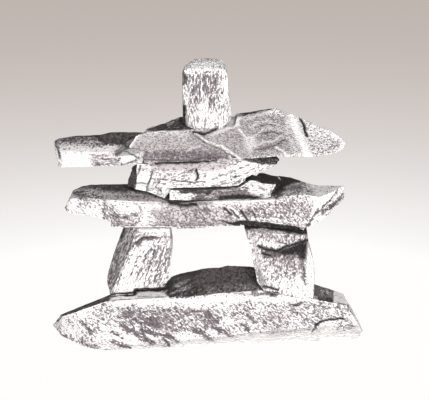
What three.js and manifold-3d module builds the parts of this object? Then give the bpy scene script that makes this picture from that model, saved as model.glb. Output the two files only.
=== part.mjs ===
// A small stone figure of nine natural gneiss stones, stacked like a northern stone marker: a long base,
// two legs, a hip slab, a waist of two stones, a short left arm, a leaning shoulder slab and a head.
// Millimetres, +Z up, +X to the viewer's right, +Y away from the viewer. The stones are placed about a line
// down through the head, and at the end the figure is moved so that the origin is on the ground under its
// middle.
import * as THREE from "three";
import { mergeVertices } from "three/addons/utils/BufferGeometryUtils.js";
import Module from "manifold-3d";

const wasm = await Module();
wasm.setup();

// Driving dimensions. A stone's length runs from left to right, its depth from the viewer's side to the
// back, and its thickness from the bed that it rests on to the bed that it carries.
const CLEARANCE = 0.3; // open joint between two stones that touch
const MARGIN = 1; // how far a bed runs on past the stone that stands on it

const BASE_LENGTH = 312;
const BASE_DEPTH = 118;
const BASE_THICKNESS = 51.5;
const BASE_X = 1;
const BASE_Y = -6.5;
const BUMP_X = 12.5; // left side of the bump along the base stone's back edge

const LEFT_LEG_WIDTH = 75;
const LEFT_LEG_DEPTH = 52;
const LEFT_LEG_LENGTH = 68;
const LEFT_LEG_X = -68.5;
const LEFT_LEG_Y = -17;

const RIGHT_LEG_WIDTH = 74;
const RIGHT_LEG_DEPTH = 58;
const RIGHT_LEG_X = 71;
const RIGHT_LEG_Y = -27;
const RIGHT_LEG_LEAN = 12; // sideways from the leg's middle to its foot, and back again to its top
const RIGHT_FOOT_RISE = 3; // of the right foot's bed over the left one's

const HIP_LENGTH = 284;
const HIP_DEPTH = 74;
const HIP_THICKNESS = 27;
const HIP_X = -1;
const HIP_Y = -7;
const HUMP_X = 46; // left side of the hump on the hip slab's back, right of which the slab rises
const HUMP_Y = -6; // near side of that hump

const LOWER_WAIST_LENGTH = 110;
const LOWER_WAIST_DEPTH = 61;
const LOWER_WAIST_THICKNESS = 12;
const LOWER_WAIST_X = 17;
const LOWER_WAIST_Y = -7.5;
const SLIT = 2.4; // open slit between the two waist stones
const RISER_X = 28; // where the slit turns up to the right
const RISER_END = 50;

const UPPER_WAIST_LENGTH = 155;
const UPPER_WAIST_DEPTH = 66;
const UPPER_WAIST_THICKNESS = 38.5;
const UPPER_WAIST_X = -4.5;
const UPPER_WAIST_Y = -5;
const HOOK_X = -38; // right side of the foot that hooks down past the lower waist stone
const HOOK_WIDTH = 6;

const ARM_LENGTH = 117;
const ARM_DEPTH = 55;
const ARM_THICKNESS = 22;
const ARM_X = -92.5;
const ARM_Y = -16.5;

const SHOULDER_LENGTH = 218;
const SHOULDER_DEPTH = 70;
const SHOULDER_THICKNESS = 29;
const SHOULDER_X = 29;
const SHOULDER_Y = -3;
const LAP = 16; // how far the shoulder slab laps over the arm
const LAP_X = -80; // near left corner of the shoulder slab, where it stands on the arm
const LAP_Y = -31;

const HEAD_WIDTH = 50;
const HEAD_DEPTH = 49;
const HEAD_HEIGHT = 66.5;
const HEAD_X = 0;
const HEAD_Y = 3.5;

// Levels of the beds, each stacked on the one below.
const RIGHT_FOOT_LEVEL = BASE_THICKNESS + RIGHT_FOOT_RISE;
const HIP_LEVEL = BASE_THICKNESS + LEFT_LEG_LENGTH;
const WAIST_LEVEL = HIP_LEVEL + HIP_THICKNESS;
const SLIT_LEVEL = WAIST_LEVEL + LOWER_WAIST_THICKNESS;
const SHOULDER_LEVEL = WAIST_LEVEL + UPPER_WAIST_THICKNESS;
const HEAD_LEVEL = SHOULDER_LEVEL + SHOULDER_THICKNESS;

const UP = new THREE.Vector3(0, 0, 1);
const REACH = 4 * Math.max(BASE_LENGTH, HIP_LENGTH, HEAD_LEVEL + HEAD_HEIGHT);
const PERCENT = 0.01;
const SCAR_FACETS = 4; // subdivisions of the ball that leaves a scar
const SCAR_SWING = { radius: 0.3, depth: 0.5, tilt: 0.12 }; // shares by which one scar differs from the next
const WAVE_STEP = 3.7; // radians of the wave from one scar to the next

// A plane through a point, facing a direction that need not be of unit length.
function face(point, direction) {
  const normal = new THREE.Vector3(...direction).normalize();
  return new THREE.Plane().setFromNormalAndCoplanarPoint(normal, new THREE.Vector3(...point));
}

// The plane of a bed through a point, rising to the right and to the back by so many millimetres a
// millimetre.
function bed({ x = 0, y = 0, level, rightRise = 0, backRise = 0 }) {
  return face([x, y, level], [-rightRise, -backRise, 1]);
}

// A wave between -1 and 1 that gives each scar its own size.
function wave(count, seed) {
  return Math.sin(WAVE_STEP * count + seed);
}

// A closed geometry as a solid for joining and cutting.
function solid(geometry) {
  geometry.deleteAttribute("normal");
  geometry.deleteAttribute("uv");
  const merged = mergeVertices(geometry);
  const mesh = new wasm.Mesh({
    numProp: 3,
    vertProperties: new Float32Array(merged.attributes.position.array),
    triVerts: new Uint32Array(merged.index.array),
  });
  return new wasm.Manifold(mesh);
}

// Everything beyond a plane, on the side it faces, with the plane first moved that way by an offset.
function beyond(plane, offset = 0) {
  const block = new THREE.BoxGeometry(REACH, REACH, REACH).translate(0, 0, REACH / 2);
  block.applyQuaternion(new THREE.Quaternion().setFromUnitVectors(UP, plane.normal));
  const foot = plane.coplanarPoint(new THREE.Vector3()).addScaledVector(plane.normal, offset);
  return solid(block.translate(foot.x, foot.y, foot.z));
}

// Everything on the other side of a plane, with the plane first moved the way it faces by an offset.
function behind(plane, offset = 0) {
  return beyond(plane.clone().negate(), -offset);
}

// An upright room with a near, far, left and right wall, open where a wall is left out.
function room({ left = -REACH, right = REACH, near = -REACH, far = REACH }) {
  const block = new THREE.BoxGeometry(right - left, far - near, 2 * REACH);
  return solid(block.translate((left + right) / 2, (near + far) / 2, 0));
}

// A stone keeps its outlines in hundredths of its own length, depth and thickness: u from its left end,
// w from its near side and v from the level that it rests on.
class Stone {
  constructor({ x, y, level, length, depth, thickness }) {
    this.corner = new THREE.Vector3(x - length / 2, y - depth / 2, level);
    this.size = new THREE.Vector3(length, depth, thickness).multiplyScalar(PERCENT);
    this.body = null;
  }

  point(u, w, v) {
    return new THREE.Vector3(u, w, v).multiply(this.size).add(this.corner);
  }

  // The stone's silhouettes from the front, from above and from its right end, each run right through,
  // meet in one block.
  outline({ front, plan, side }) {
    const prism = (points) => {
      const shape = new THREE.Shape(points.map(([a, b]) => new THREE.Vector2(a, b)));
      const run = new THREE.ExtrudeGeometry(shape, { depth: 2 * REACH, bevelEnabled: false });
      return run.translate(0, 0, -REACH);
    };
    const frontal = prism(front.map(([u, v]) => this.point(u, 0, v)).map((at) => [at.x, at.z]));
    const upright = prism(plan.map(([u, w]) => this.point(u, w, 0)).map((at) => [at.x, at.y]));
    const lateral = prism(side.map(([w, v]) => this.point(0, w, v)).map((at) => [at.y, at.z]));
    frontal.rotateX(Math.PI / 2);
    lateral.rotateX(Math.PI / 2).rotateZ(Math.PI / 2);
    this.body = solid(frontal).intersect(solid(upright)).intersect(solid(lateral));
    return this;
  }

  cut(waste) {
    this.body = this.body.subtract(waste);
    return this;
  }

  // Trims the stone to a bed that it rests on, all over or in one room only, with the open joint on it.
  restOn(plane, space = room({})) {
    return this.cut(behind(plane, CLEARANCE).intersect(space));
  }

  // Trims the stone to a bed that it carries, all over or in one room only.
  carry(plane, space = room({})) {
    return this.cut(beyond(plane).intersect(space));
  }

  // Splits off what lies beyond each broken face, all over or in one room only.
  hew(...faces) {
    for (const { through, facing, within = room({}) } of faces) {
      this.cut(beyond(face(this.point(...through), facing)).intersect(within));
    }
    return this;
  }

  // Breaks out what lies beyond two faces at once, which leaves a ledge.
  ledge(upright, tread) {
    const [first, second] = [upright, tread].map(({ through, facing }) =>
      beyond(face(this.point(...through), facing)),
    );
    return this.cut(first.intersect(second));
  }

  // Knocks a row of broad shallow scars out of the stone, as blows leave them along an edge. Each is the
  // print of a large faceted ball, and size, depth and tilt swing from one to the next.
  scar({ from, to = from, facing, count = 1, radius = 90, bite }) {
    const start = this.point(...from);
    const end = this.point(...to);
    for (let blow = 0; blow < count; blow += 1) {
      const share = count > 1 ? blow / (count - 1) : 0;
      const ballRadius = radius * (1 + SCAR_SWING.radius * wave(blow, start.x));
      const depth = bite * (1 + SCAR_SWING.depth * wave(blow, end.z));
      const tilt = new THREE.Vector3(wave(blow, end.x), 0, wave(blow, start.z));
      const out = new THREE.Vector3(...facing).normalize().addScaledVector(tilt, SCAR_SWING.tilt).normalize();
      const at = start.clone().lerp(end, share).addScaledVector(out, ballRadius - depth);
      const ball = new THREE.IcosahedronGeometry(ballRadius, SCAR_FACETS);
      this.cut(solid(ball.rotateX(blow).rotateZ(2 * blow).translate(at.x, at.y, at.z)));
    }
    return this;
  }

  mesh(name, colour, roughness) {
    const { vertProperties, triVerts } = this.body.getMesh();
    const geometry = new THREE.BufferGeometry();
    geometry.setAttribute("position", new THREE.BufferAttribute(new Float32Array(vertProperties), 3));
    geometry.setIndex(new THREE.BufferAttribute(new Uint32Array(triVerts), 1));
    geometry.computeVertexNormals();
    const material = new THREE.MeshStandardMaterial({ color: colour, roughness, metalness: 0 });
    const mesh = new THREE.Mesh(geometry, material);
    mesh.name = name;
    return mesh;
  }
}

// Beds that two stones share. The lower stone is trimmed to the bed, the upper one to the bed and the
// open joint.
const leftFootBed = bed({ x: LEFT_LEG_X, level: BASE_THICKNESS, rightRise: 0.06 });
const rightFootBed = bed({ x: RIGHT_LEG_X + RIGHT_LEG_LEAN, level: RIGHT_FOOT_LEVEL, rightRise: -0.19 });
const leftHipBed = bed({ x: LEFT_LEG_X, level: HIP_LEVEL });
const rightHipBed = bed({ x: RIGHT_LEG_X - RIGHT_LEG_LEAN, level: HIP_LEVEL, rightRise: -0.12 });
const waistBed = bed({ x: HOOK_X, level: WAIST_LEVEL, rightRise: 0.03 });
const slitBed = bed({ x: RISER_X, level: SLIT_LEVEL, rightRise: 0.015 });
const riserBed = bed({ x: RISER_X, level: SLIT_LEVEL, rightRise: 0.62 });
const shoulderBed = bed({ x: HOOK_X, level: SHOULDER_LEVEL, rightRise: 0.04 });
const armBed = bed({ y: LAP_Y, level: SHOULDER_LEVEL + ARM_THICKNESS / 2, backRise: 0.2 });
const headBed = bed({ y: HEAD_Y - HEAD_DEPTH / 2, level: HEAD_LEVEL, backRise: 0.13 });

// Upright faces where the shoulder slab's left end stands on the arm, and where the arm ends under it.
const shoulderEnd = face([LAP_X, LAP_Y, 0], [0.83, -0.56, 0]);
const armEnd = shoulderEnd.clone().translate(shoulderEnd.normal.clone().multiplyScalar(LAP));

// The steep side of the notch in the shoulder slab that the head stands in.
const headCheek = face([HEAD_X + HEAD_WIDTH / 2 + MARGIN, 0, HEAD_LEVEL], [0.98, 0, -0.18]);

const underLeftHalf = room({ right: LEFT_LEG_X + LEFT_LEG_WIDTH / 2 });
const pastLeftFoot = room({ left: LEFT_LEG_X + LEFT_LEG_WIDTH / 2 });
const behindLeftFoot = room({ near: LEFT_LEG_Y + LEFT_LEG_DEPTH / 2, right: BUMP_X });
const underRightHalf = room({ left: RIGHT_LEG_X - RIGHT_LEG_WIDTH / 2 });
const underHook = room({ left: HOOK_X - HOOK_WIDTH, right: HUMP_X });
const beforeHump = room({
  left: HUMP_X - MARGIN,
  right: LOWER_WAIST_X + LOWER_WAIST_LENGTH / 2 + MARGIN,
  far: HUMP_Y,
});
const pastHook = room({ left: HOOK_X - CLEARANCE });
const overRiser = room({ left: HOOK_X, right: RISER_END });
const overWaist = room({ right: UPPER_WAIST_X + UPPER_WAIST_LENGTH / 2 + MARGIN });

const base = new Stone({
  x: BASE_X,
  y: BASE_Y,
  level: 0,
  length: BASE_LENGTH,
  depth: BASE_DEPTH,
  thickness: BASE_THICKNESS,
})
  .outline({
    front: [
      [0, 39], [2, 52], [3.6, 64], [10.5, 83], [19, 103], [30, 109], [50, 109], [53.5, 110], [57.4, 120.5],
      [59, 122.5], [61.3, 119], [69, 119.5], [83, 105], [90, 96], [94, 85], [96, 68], [97.5, 52], [100, 25],
      [99.5, 8], [97.5, 0], [17.5, 0], [9, 12], [3, 25],
    ],
    plan: [
      [0, 22], [3, 13], [14.5, 0], [30, 3], [41, 5], [63.5, 7], [85, 10], [97.5, 14], [100, 25],
      [98.5, 38], [94, 45], [89.5, 53], [84, 60], [79, 76], [73, 91], [66, 98], [56, 100], [45, 99],
      [39.5, 94], [33, 83], [24, 71], [14, 61], [6.5, 47], [1.5, 36],
    ],
    side: [
      [3, 0], [0, 17], [2, 50], [7, 78], [11, 99], [20, 117], [88, 126], [96, 122.5], [100, 90], [98, 47],
      [93, 15], [85, 0],
    ],
  })
  .hew(
    { through: [18.5, 38, 85.6], facing: [-0.33, 0.19, 0.93] },
    { through: [37, 93, 80], facing: [-0.55, 0.72, 0.32] },
    { through: [50, 20, 108], facing: [-0.06, -0.05, 1], within: pastLeftFoot },
    { through: [50, 94, 106], facing: [-0.23, 0.15, 0.96], within: behindLeftFoot },
    { through: [48.4, 94, 103.5], facing: [-0.12, 0.15, 0.98], within: behindLeftFoot },
    { through: [30, 84, 30], facing: [-0.4, 0.8, -0.35] },
    { through: [90, 50, 30], facing: [0.45, 0.75, -0.3] },
    { through: [19, 7, 0], facing: [0.09, -0.69, -0.7] },
    { through: [90, 10, 72], facing: [0.1, -0.85, 0.5] },
  )
  .ledge(
    { through: [38.8, 72.5, 105], facing: [-0.7, 0.15, 0.7] },
    { through: [27.7, 63, 100], facing: [0, 0.48, 0.88] },
  )
  .scar({ from: [22, 6, 98], to: [92, 12, 96], facing: [0, -0.8, 0.7], count: 6, bite: 2.4 })
  .scar({ from: [12, 2, 50], to: [92, 9, 46], facing: [0, -1, 0.1], count: 6, radius: 130, bite: 1.8 })
  .scar({ from: [20, 4, 10], to: [94, 12, 12], facing: [0, -1, -0.5], count: 5, radius: 110, bite: 1.6 })
  .scar({ from: [38, 98, 40], to: [84, 62, 40], facing: [0.2, 1, 0], count: 5, radius: 180, bite: 2 })
  .scar({ from: [6, 48, 50], to: [30, 80, 50], facing: [-0.5, 0.8, 0.1], count: 3, radius: 120, bite: 3 })
  .carry(leftFootBed, underLeftHalf)
  .carry(rightFootBed);

const leftLeg = new Stone({
  x: LEFT_LEG_X,
  y: LEFT_LEG_Y,
  level: BASE_THICKNESS,
  length: LEFT_LEG_WIDTH,
  depth: LEFT_LEG_DEPTH,
  thickness: LEFT_LEG_LENGTH,
})
  .outline({
    front: [
      [36, 104], [24.5, 74], [15, 46], [8, 21], [7, 10], [14, -4], [45, -4], [47, 8], [84, 9], [91, 20],
      [93, 35], [96.5, 60], [96.5, 77], [93.5, 104],
    ],
    plan: [
      [3, 6], [61, 0], [93, 10], [100, 44], [96, 86], [75, 100], [28, 98], [7, 86], [0, 60],
    ],
    side: [[6, -5], [0, 15], [2, 45], [8, 77], [12, 104], [90, 104], [100, 71], [98, 27], [88, -5]],
  })
  .hew(
    { through: [51, 10, 99], facing: [-0.82, -0.44, 0.36] },
    { through: [60, 6, 92], facing: [0.05, -0.8, 0.6] },
  )
  .scar({ from: [92, 12, 85], to: [90, 12, 20], facing: [0.9, -1, 0], count: 3, radius: 60, bite: 1.8 })
  .scar({ from: [88, 96, 85], to: [86, 96, 20], facing: [0.7, 1, 0], count: 3, radius: 60, bite: 3 })
  .scar({ from: [18, 90, 75], to: [10, 90, 22], facing: [-0.8, 1, 0], count: 2, radius: 60, bite: 2.5 })
  .restOn(leftFootBed)
  .carry(leftHipBed);

const rightLeg = new Stone({
  x: RIGHT_LEG_X,
  y: RIGHT_LEG_Y,
  level: RIGHT_FOOT_LEVEL,
  length: RIGHT_LEG_WIDTH,
  depth: RIGHT_LEG_DEPTH,
  thickness: HIP_LEVEL - RIGHT_FOOT_LEVEL,
})
  .outline({
    front: [
      [0, 110], [5, 92], [11, 75], [13.5, 56], [18, 32], [20, 18], [28, 10], [49, 3], [99, -18],
      [100, 18], [96, 53], [90, 73], [89, 90], [80, 100], [67, 108],
    ],
    plan: [
      [8, 15], [35, 0], [82, 0], [97, 12], [100, 58], [93, 89], [62, 98], [22, 95], [5, 76], [0, 44],
    ],
    side: [
      [11, -18], [1, 6], [0, 40], [4, 76], [10, 110], [87, 110], [98, 70], [100, 24], [91, -18],
    ],
  })
  .ledge(
    { through: [60, 17, 78], facing: [0.12, -1, 0.1] },
    { through: [60, 17, 78], facing: [-0.13, -0.62, 0.77] },
  )
  .hew({ through: [94, 12, 40], facing: [0.62, -0.78, 0.05] })
  .scar({ from: [16, 8, 60], to: [24, 8, 22], facing: [-1, -1, 0], count: 2, radius: 60, bite: 1.8 })
  .scar({ from: [96, 88, 80], to: [98, 90, 10], facing: [1, 0.8, 0], count: 3, radius: 70, bite: 3 })
  .scar({ from: [20, 96, 80], to: [60, 98, 20], facing: [0, 1, 0], count: 3, radius: 80, bite: 2 })
  .restOn(rightFootBed)
  .carry(rightHipBed);

const hip = new Stone({
  x: HIP_X,
  y: HIP_Y,
  level: HIP_LEVEL,
  length: HIP_LENGTH,
  depth: HIP_DEPTH,
  thickness: HIP_THICKNESS,
})
  .outline({
    front: [
      [0, 54], [1, 76], [2.5, 98], [6, 109], [9, 112], [21, 109], [28.5, 106], [35, 104], [57.5, 113],
      [65.5, 120], [68, 163], [70.5, 157], [73.5, 148], [80, 139], [85, 126], [89.5, 118], [95, 126],
      [98.5, 135], [100, 109], [98.5, 80], [94.5, 50], [88.5, 20], [85, -2], [83.5, -28], [62.5, -8],
      [62, 8], [54, 7], [49, -4], [40, -7], [34, -3], [22, -8], [17, 6], [16, 24], [13.5, 35], [3, 39],
      [1, 46],
    ],
    plan: [
      [0, 43], [2, 22], [6, 8], [13.5, 0], [29, 1], [50, 3], [71.5, 3], [85.5, 7], [92, 13], [97, 23],
      [99.5, 35], [99, 49], [95, 62], [89.5, 76], [80, 89], [68, 97], [43, 100], [21, 95], [9, 89],
      [3, 77], [0.5, 59],
    ],
    side: [
      [24, -28], [11, 0], [3, 31], [0, 68], [3, 102], [11, 124], [32, 143], [86, 168], [97, 146],
      [100, 98], [92, 39], [78, -2], [62, -28],
    ],
  })
  .hew(
    { through: [71.5, 3, 113], facing: [-0.06, -0.2, 0.98], within: room({ left: HUMP_X }) },
    { through: [89.5, 12, 110], facing: [0.68, -0.72, 0.1] },
    { through: [85, 10, -5], facing: [0.25, -0.7, -0.67] },
    { through: [8, 80, 30], facing: [-0.5, 0.6, -0.6] },
    { through: [19, 3, 62], facing: [-0.36, -0.9, -0.16] },
  )
  .scar({ from: [8, 5, 112], to: [60, 3, 100], facing: [0, -1, 0.7], count: 5, bite: 2 })
  .scar({ from: [12, 2, 45], to: [80, 4, 42], facing: [0, -1, -0.15], count: 5, radius: 110, bite: 2 })
  .scar({ from: [18, 99, 70], to: [90, 82, 90], facing: [0.1, 1, 0], count: 5, radius: 100, bite: 3.4 })
  .restOn(leftHipBed, underLeftHalf)
  .restOn(rightHipBed, underRightHalf)
  .carry(waistBed, underHook)
  .carry(waistBed, beforeHump);

const lowerWaist = new Stone({
  x: LOWER_WAIST_X,
  y: LOWER_WAIST_Y,
  level: WAIST_LEVEL,
  length: LOWER_WAIST_LENGTH,
  depth: LOWER_WAIST_DEPTH,
  thickness: LOWER_WAIST_THICKNESS,
})
  .outline({
    front: [
      [-4, -20], [-4, 180], [70, 180], [77, 167], [84, 146], [99, 137], [96, 88], [93, 42], [90, -20],
    ],
    plan: [
      [-4, 10], [16, 2], [44, 0], [75, 0], [91, 0], [98, 10], [100, 29], [99, 60], [84, 78], [62, 95],
      [34, 100], [-4, 95],
    ],
    side: [[7, -20], [0, 21], [2, 96], [13, 180], [100, 180], [100, -20]],
  })
  .hew(
    { through: [70, 6, 165], facing: [0, -0.4, 0.9] },
    { through: [92, 8, 60], facing: [0.7, -0.6, -0.3] },
  )
  .scar({ from: [52, 0, 40], to: [80, 0, 60], facing: [0, -1, 0.1], count: 3, radius: 34, bite: 3 })
  .cut(behind(face([HOOK_X, 0, 0], [1, 0, 0])))
  .cut(room({ left: HUMP_X - CLEARANCE, near: HUMP_Y - CLEARANCE }))
  .cut(beyond(slitBed).intersect(beyond(riserBed)))
  .restOn(waistBed);

const upperWaist = new Stone({
  x: UPPER_WAIST_X,
  y: UPPER_WAIST_Y,
  level: WAIST_LEVEL,
  length: UPPER_WAIST_LENGTH,
  depth: UPPER_WAIST_DEPTH,
  thickness: UPPER_WAIST_THICKNESS,
})
  .outline({
    front: [
      [0, 25], [0.5, 40], [3, 56], [7, 69], [9, 108], [85, 123], [92, 108], [100, 90], [98, 82],
      [93, 74], [85, 70], [79, 56], [71, 10], [71, -6], [28.5, -6], [24.5, 6], [15, 21], [7, 29], [2, 17],
    ],
    plan: [
      [8, 4], [24, 0], [58, 3], [77, 8], [85, 17], [93, 29], [100, 44], [100, 56], [92, 77], [79, 94],
      [53, 98], [14, 95], [3, 83], [0, 65], [2, 44],
    ],
    side: [
      [11, -6], [1, 12], [0, 61], [3, 87], [8, 100], [14, 118], [88, 118], [98, 87], [100, 48],
      [91, 14], [79, -6],
    ],
  })
  .hew({ through: [60, 2, 84], facing: [0.05, -0.8, 0.6] })
  .scar({ from: [14, 1, 92], to: [66, 3, 98], facing: [0, -1, 0.8], count: 4, radius: 70, bite: 1.8 })
  .scar({ from: [56, 1, 55], to: [84, 14, 76], facing: [0.3, -1, -0.1], count: 3, radius: 60, bite: 2 })
  .scar({ from: [12, 2, 40], to: [26, 0, 12], facing: [-0.2, -1, -0.6], count: 2, radius: 60, bite: 1.8 })
  .scar({ from: [2, 30, 50], to: [2, 70, 45], facing: [-1, 0, 0.4], count: 3, radius: 20, bite: 1.8 })
  .scar({ from: [15, 96, 50], to: [85, 88, 60], facing: [0, 1, 0], count: 4, radius: 90, bite: 3 })
  .cut(behind(slitBed, SLIT).intersect(pastHook))
  .cut(behind(riserBed, CLEARANCE).intersect(overRiser))
  .restOn(waistBed)
  .carry(shoulderBed);

const leftArm = new Stone({
  x: ARM_X,
  y: ARM_Y,
  level: SHOULDER_LEVEL,
  length: ARM_LENGTH,
  depth: ARM_DEPTH,
  thickness: ARM_THICKNESS,
})
  .outline({
    front: [
      [1, 86], [0, 59], [2.5, 32], [4, 9], [4, -23], [104, -23], [104, 109], [60, 107], [47, 102],
      [38.5, 93], [22, 91], [7, 89],
    ],
    plan: [
      [0, 44], [2.5, 15], [9, 4], [35, 2], [57, 0], [70, 5], [100, 90], [95, 100], [76, 98], [52, 96],
      [35, 89], [18, 80], [4, 65],
    ],
    side: [
      [11, -23], [2, -4], [0, 23], [4, 55], [22, 76], [40, 89], [80, 107], [94, 95], [100, 50],
      [91, 4], [73, -23],
    ],
  })
  .hew(
    { through: [60, 0, -2], facing: [0.38, -0.6, -0.6] },
    { through: [4, 12, 20], facing: [-0.8, -0.5, -0.35] },
  )
  .scar({ from: [8, 3, 62], to: [54, 1, 60], facing: [0, -1, 0.7], count: 4, radius: 70, bite: 1.8 })
  .scar({ from: [14, 1, 4], to: [56, 0, 2], facing: [0, -1, -0.6], count: 3, radius: 70, bite: 1.5 })
  .scar({ from: [20, 82, 60], to: [60, 97, 70], facing: [-0.1, 1, 0], count: 3, radius: 80, bite: 3 })
  .restOn(shoulderBed)
  .cut(beyond(armEnd))
  .cut(beyond(shoulderEnd).intersect(beyond(armBed)));

const shoulder = new Stone({
  x: SHOULDER_X,
  y: SHOULDER_Y,
  level: SHOULDER_LEVEL,
  length: SHOULDER_LENGTH,
  depth: SHOULDER_DEPTH,
  thickness: SHOULDER_THICKNESS,
})
  .outline({
    front: [
      [0, 38], [5, 86], [11, 97], [17.5, 101], [24, 119], [37, 128], [48.5, 131], [54.5, 138],
      [65.5, 153], [70, 158], [72, 145], [77, 131], [83, 115], [88, 103], [92, 88], [96, 72], [99, 55],
      [100, 45], [98.5, 31], [95, 21], [91, 15], [83, 11], [75, 14], [70.5, 14], [70.5, -17], [6.5, -17],
      [6, 5],
    ],
    plan: [
      [0, 9], [6.5, 2], [37, 1], [64, 0], [83, 1], [93, 9], [98, 23], [100, 43], [98, 60], [87, 74],
      [71, 89], [50.5, 97], [24, 100], [16, 83], [10, 60], [5, 34],
    ],
    side: [
      [2, -17], [0, 10], [27, 100], [71, 159], [89, 152], [100, 103], [98, 52], [89, 17], [74, -17],
    ],
  })
  .hew(
    { through: [30, 26, 90], facing: [0.1, -0.67, 0.74] },
    { through: [83, 1, 20], facing: [0.3, -0.8, 0.52] },
    { through: [85, 76, 90], facing: [0.35, 0.6, 0.7] },
  )
  .scar({ from: [52, 24, 80], to: [72, 30, 96], facing: [0.1, -0.7, 0.74], count: 2, radius: 60, bite: 2.6 })
  .scar({ from: [58, 6, 36], to: [76, 5, 30], facing: [0.1, -0.8, 0.6], count: 2, radius: 50, bite: 2.4 })
  .scar({ from: [78, 46, 128], to: [95, 46, 78], facing: [0.5, -0.1, 1], count: 2, radius: 80, bite: 1.6 })
  .scar({ from: [25, 98, 60], to: [85, 78, 60], facing: [0.1, 1, 0], count: 4, radius: 100, bite: 3.5 })
  .cut(behind(shoulderEnd, CLEARANCE))
  .cut(behind(armEnd, CLEARANCE).intersect(behind(armBed, CLEARANCE)))
  .restOn(shoulderBed, overWaist)
  .cut(beyond(headBed).intersect(behind(headCheek)));

const head = new Stone({
  x: HEAD_X,
  y: HEAD_Y,
  level: HEAD_LEVEL,
  length: HEAD_WIDTH,
  depth: HEAD_DEPTH,
  thickness: HEAD_HEIGHT,
})
  .outline({
    front: [
      [2, -9], [1, 32], [0, 62], [1, 81], [6, 89], [22, 98], [34, 100], [62, 100], [76, 97], [87, 90],
      [91, 81], [94, 54], [97, 39], [100, 18], [96, 9], [80, 1.5], [66, -3], [62, -9],
    ],
    plan: [
      [2, 14], [22, 2], [66, 0], [90, 8], [100, 31], [98, 71], [84, 94], [46, 100], [12, 92], [0, 59],
    ],
    side: [
      [4, -9], [0, 24], [4, 54], [6, 81], [12, 92], [35, 98], [80, 101], [94, 95], [100, 72], [98, 32],
      [92, 6], [84, -9],
    ],
  })
  .hew({ through: [10, 12, 20], facing: [-0.8, -0.55, -0.1] })
  .scar({ from: [55, 0, 50], facing: [0.1, -1, 0], radius: 120, bite: 1.6 })
  .scar({ from: [92, 10, 75], to: [97, 12, 25], facing: [1, -1, 0], count: 2, radius: 60, bite: 1.6 })
  .scar({ from: [20, 92, 75], to: [70, 96, 20], facing: [0, 1, 0], count: 3, radius: 70, bite: 2 })
  .restOn(headBed);

const figure = new THREE.Group();
figure.add(
  base.mesh("base_stone", 0xb9b4ae, 0.85),
  leftLeg.mesh("left_leg_stone", 0xc4bfba, 0.85),
  rightLeg.mesh("right_leg_stone", 0xc9c5c0, 0.85),
  hip.mesh("hip_slab", 0xa8a29c, 0.8),
  lowerWaist.mesh("lower_waist_stone", 0xc2bdb7, 0.85),
  upperWaist.mesh("upper_waist_stone", 0xd2cec9, 0.85),
  leftArm.mesh("left_arm_stone", 0xb4aea8, 0.8),
  shoulder.mesh("shoulder_slab", 0x9d9894, 0.8),
  head.mesh("head_stone", 0xb0aba6, 0.85),
);

// Stand the figure on the ground with the origin under the middle of its box.
const middle = new THREE.Box3().setFromObject(figure).getCenter(new THREE.Vector3());
figure.position.set(-middle.x, -middle.y, 0);

export default figure;
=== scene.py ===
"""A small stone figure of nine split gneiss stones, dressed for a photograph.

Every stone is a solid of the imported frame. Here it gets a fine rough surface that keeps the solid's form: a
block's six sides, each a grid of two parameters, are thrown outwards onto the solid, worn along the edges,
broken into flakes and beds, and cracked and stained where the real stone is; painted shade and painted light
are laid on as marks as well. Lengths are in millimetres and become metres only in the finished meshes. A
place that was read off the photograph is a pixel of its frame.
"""

from __future__ import annotations

import logging
import math
from dataclasses import dataclass
from enum import Enum
from typing import Any, Sequence

import bpy
import numpy as np
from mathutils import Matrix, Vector


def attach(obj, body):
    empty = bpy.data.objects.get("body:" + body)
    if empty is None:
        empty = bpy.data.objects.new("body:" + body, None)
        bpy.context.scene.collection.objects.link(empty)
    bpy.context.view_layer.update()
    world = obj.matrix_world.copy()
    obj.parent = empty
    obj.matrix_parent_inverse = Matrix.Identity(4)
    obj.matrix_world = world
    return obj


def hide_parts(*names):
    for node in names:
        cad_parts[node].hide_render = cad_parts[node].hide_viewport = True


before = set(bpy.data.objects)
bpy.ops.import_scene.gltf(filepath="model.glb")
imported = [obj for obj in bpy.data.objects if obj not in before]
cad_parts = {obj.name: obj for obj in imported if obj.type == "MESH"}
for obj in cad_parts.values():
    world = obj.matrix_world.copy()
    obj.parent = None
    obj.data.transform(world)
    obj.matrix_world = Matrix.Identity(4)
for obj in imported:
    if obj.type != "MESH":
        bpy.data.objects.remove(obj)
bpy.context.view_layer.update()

LOG = logging.getLogger("stone_figure")
METRE = 1000.0
# Colour layers: weathering with painted shade of the tops and furrows; marks with painted light among them;
# films with painted shade.
LAYERS = ("weather", "marks", "films")
TINY = 1e-9
MEAN = 0.5

CORNERS = np.array([[i >> 2 & 1, i >> 1 & 1, i & 1] for i in range(8)])
CELL_PRIMES = (73856093, 19349663, 83492791)
SEED_PRIME = 39916801
MIXING_FACTORS = (2246822519, 3266489917)
WORD = 0xFFFFFFFF

# How far a strike strays inside its cube, and how much its face leans.
STRAY, LEAN = 0.7, 1.6
# Size in beds and strength of the beds' warp and of their drift, and where the step to the next bed begins.
WARP_SIZE, WARP, DRIFT_SIZE, DRIFT, STEP_START = 7.0, 0.5, 5.0, 0.4, 0.75
# Where a furrow ends beside its middle, the size of the places that have furrows, and how these fade.
FURROW_EDGE, FURROWED_SIZE, FURROWED_FADE = 0.42, 2.7, (-0.35, 0.25)

Array = np.ndarray
Pixel = tuple[float, float]
Path = Sequence[Pixel]
Colour = tuple[float, float, float]
Triple = tuple[float, float, float]


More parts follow.
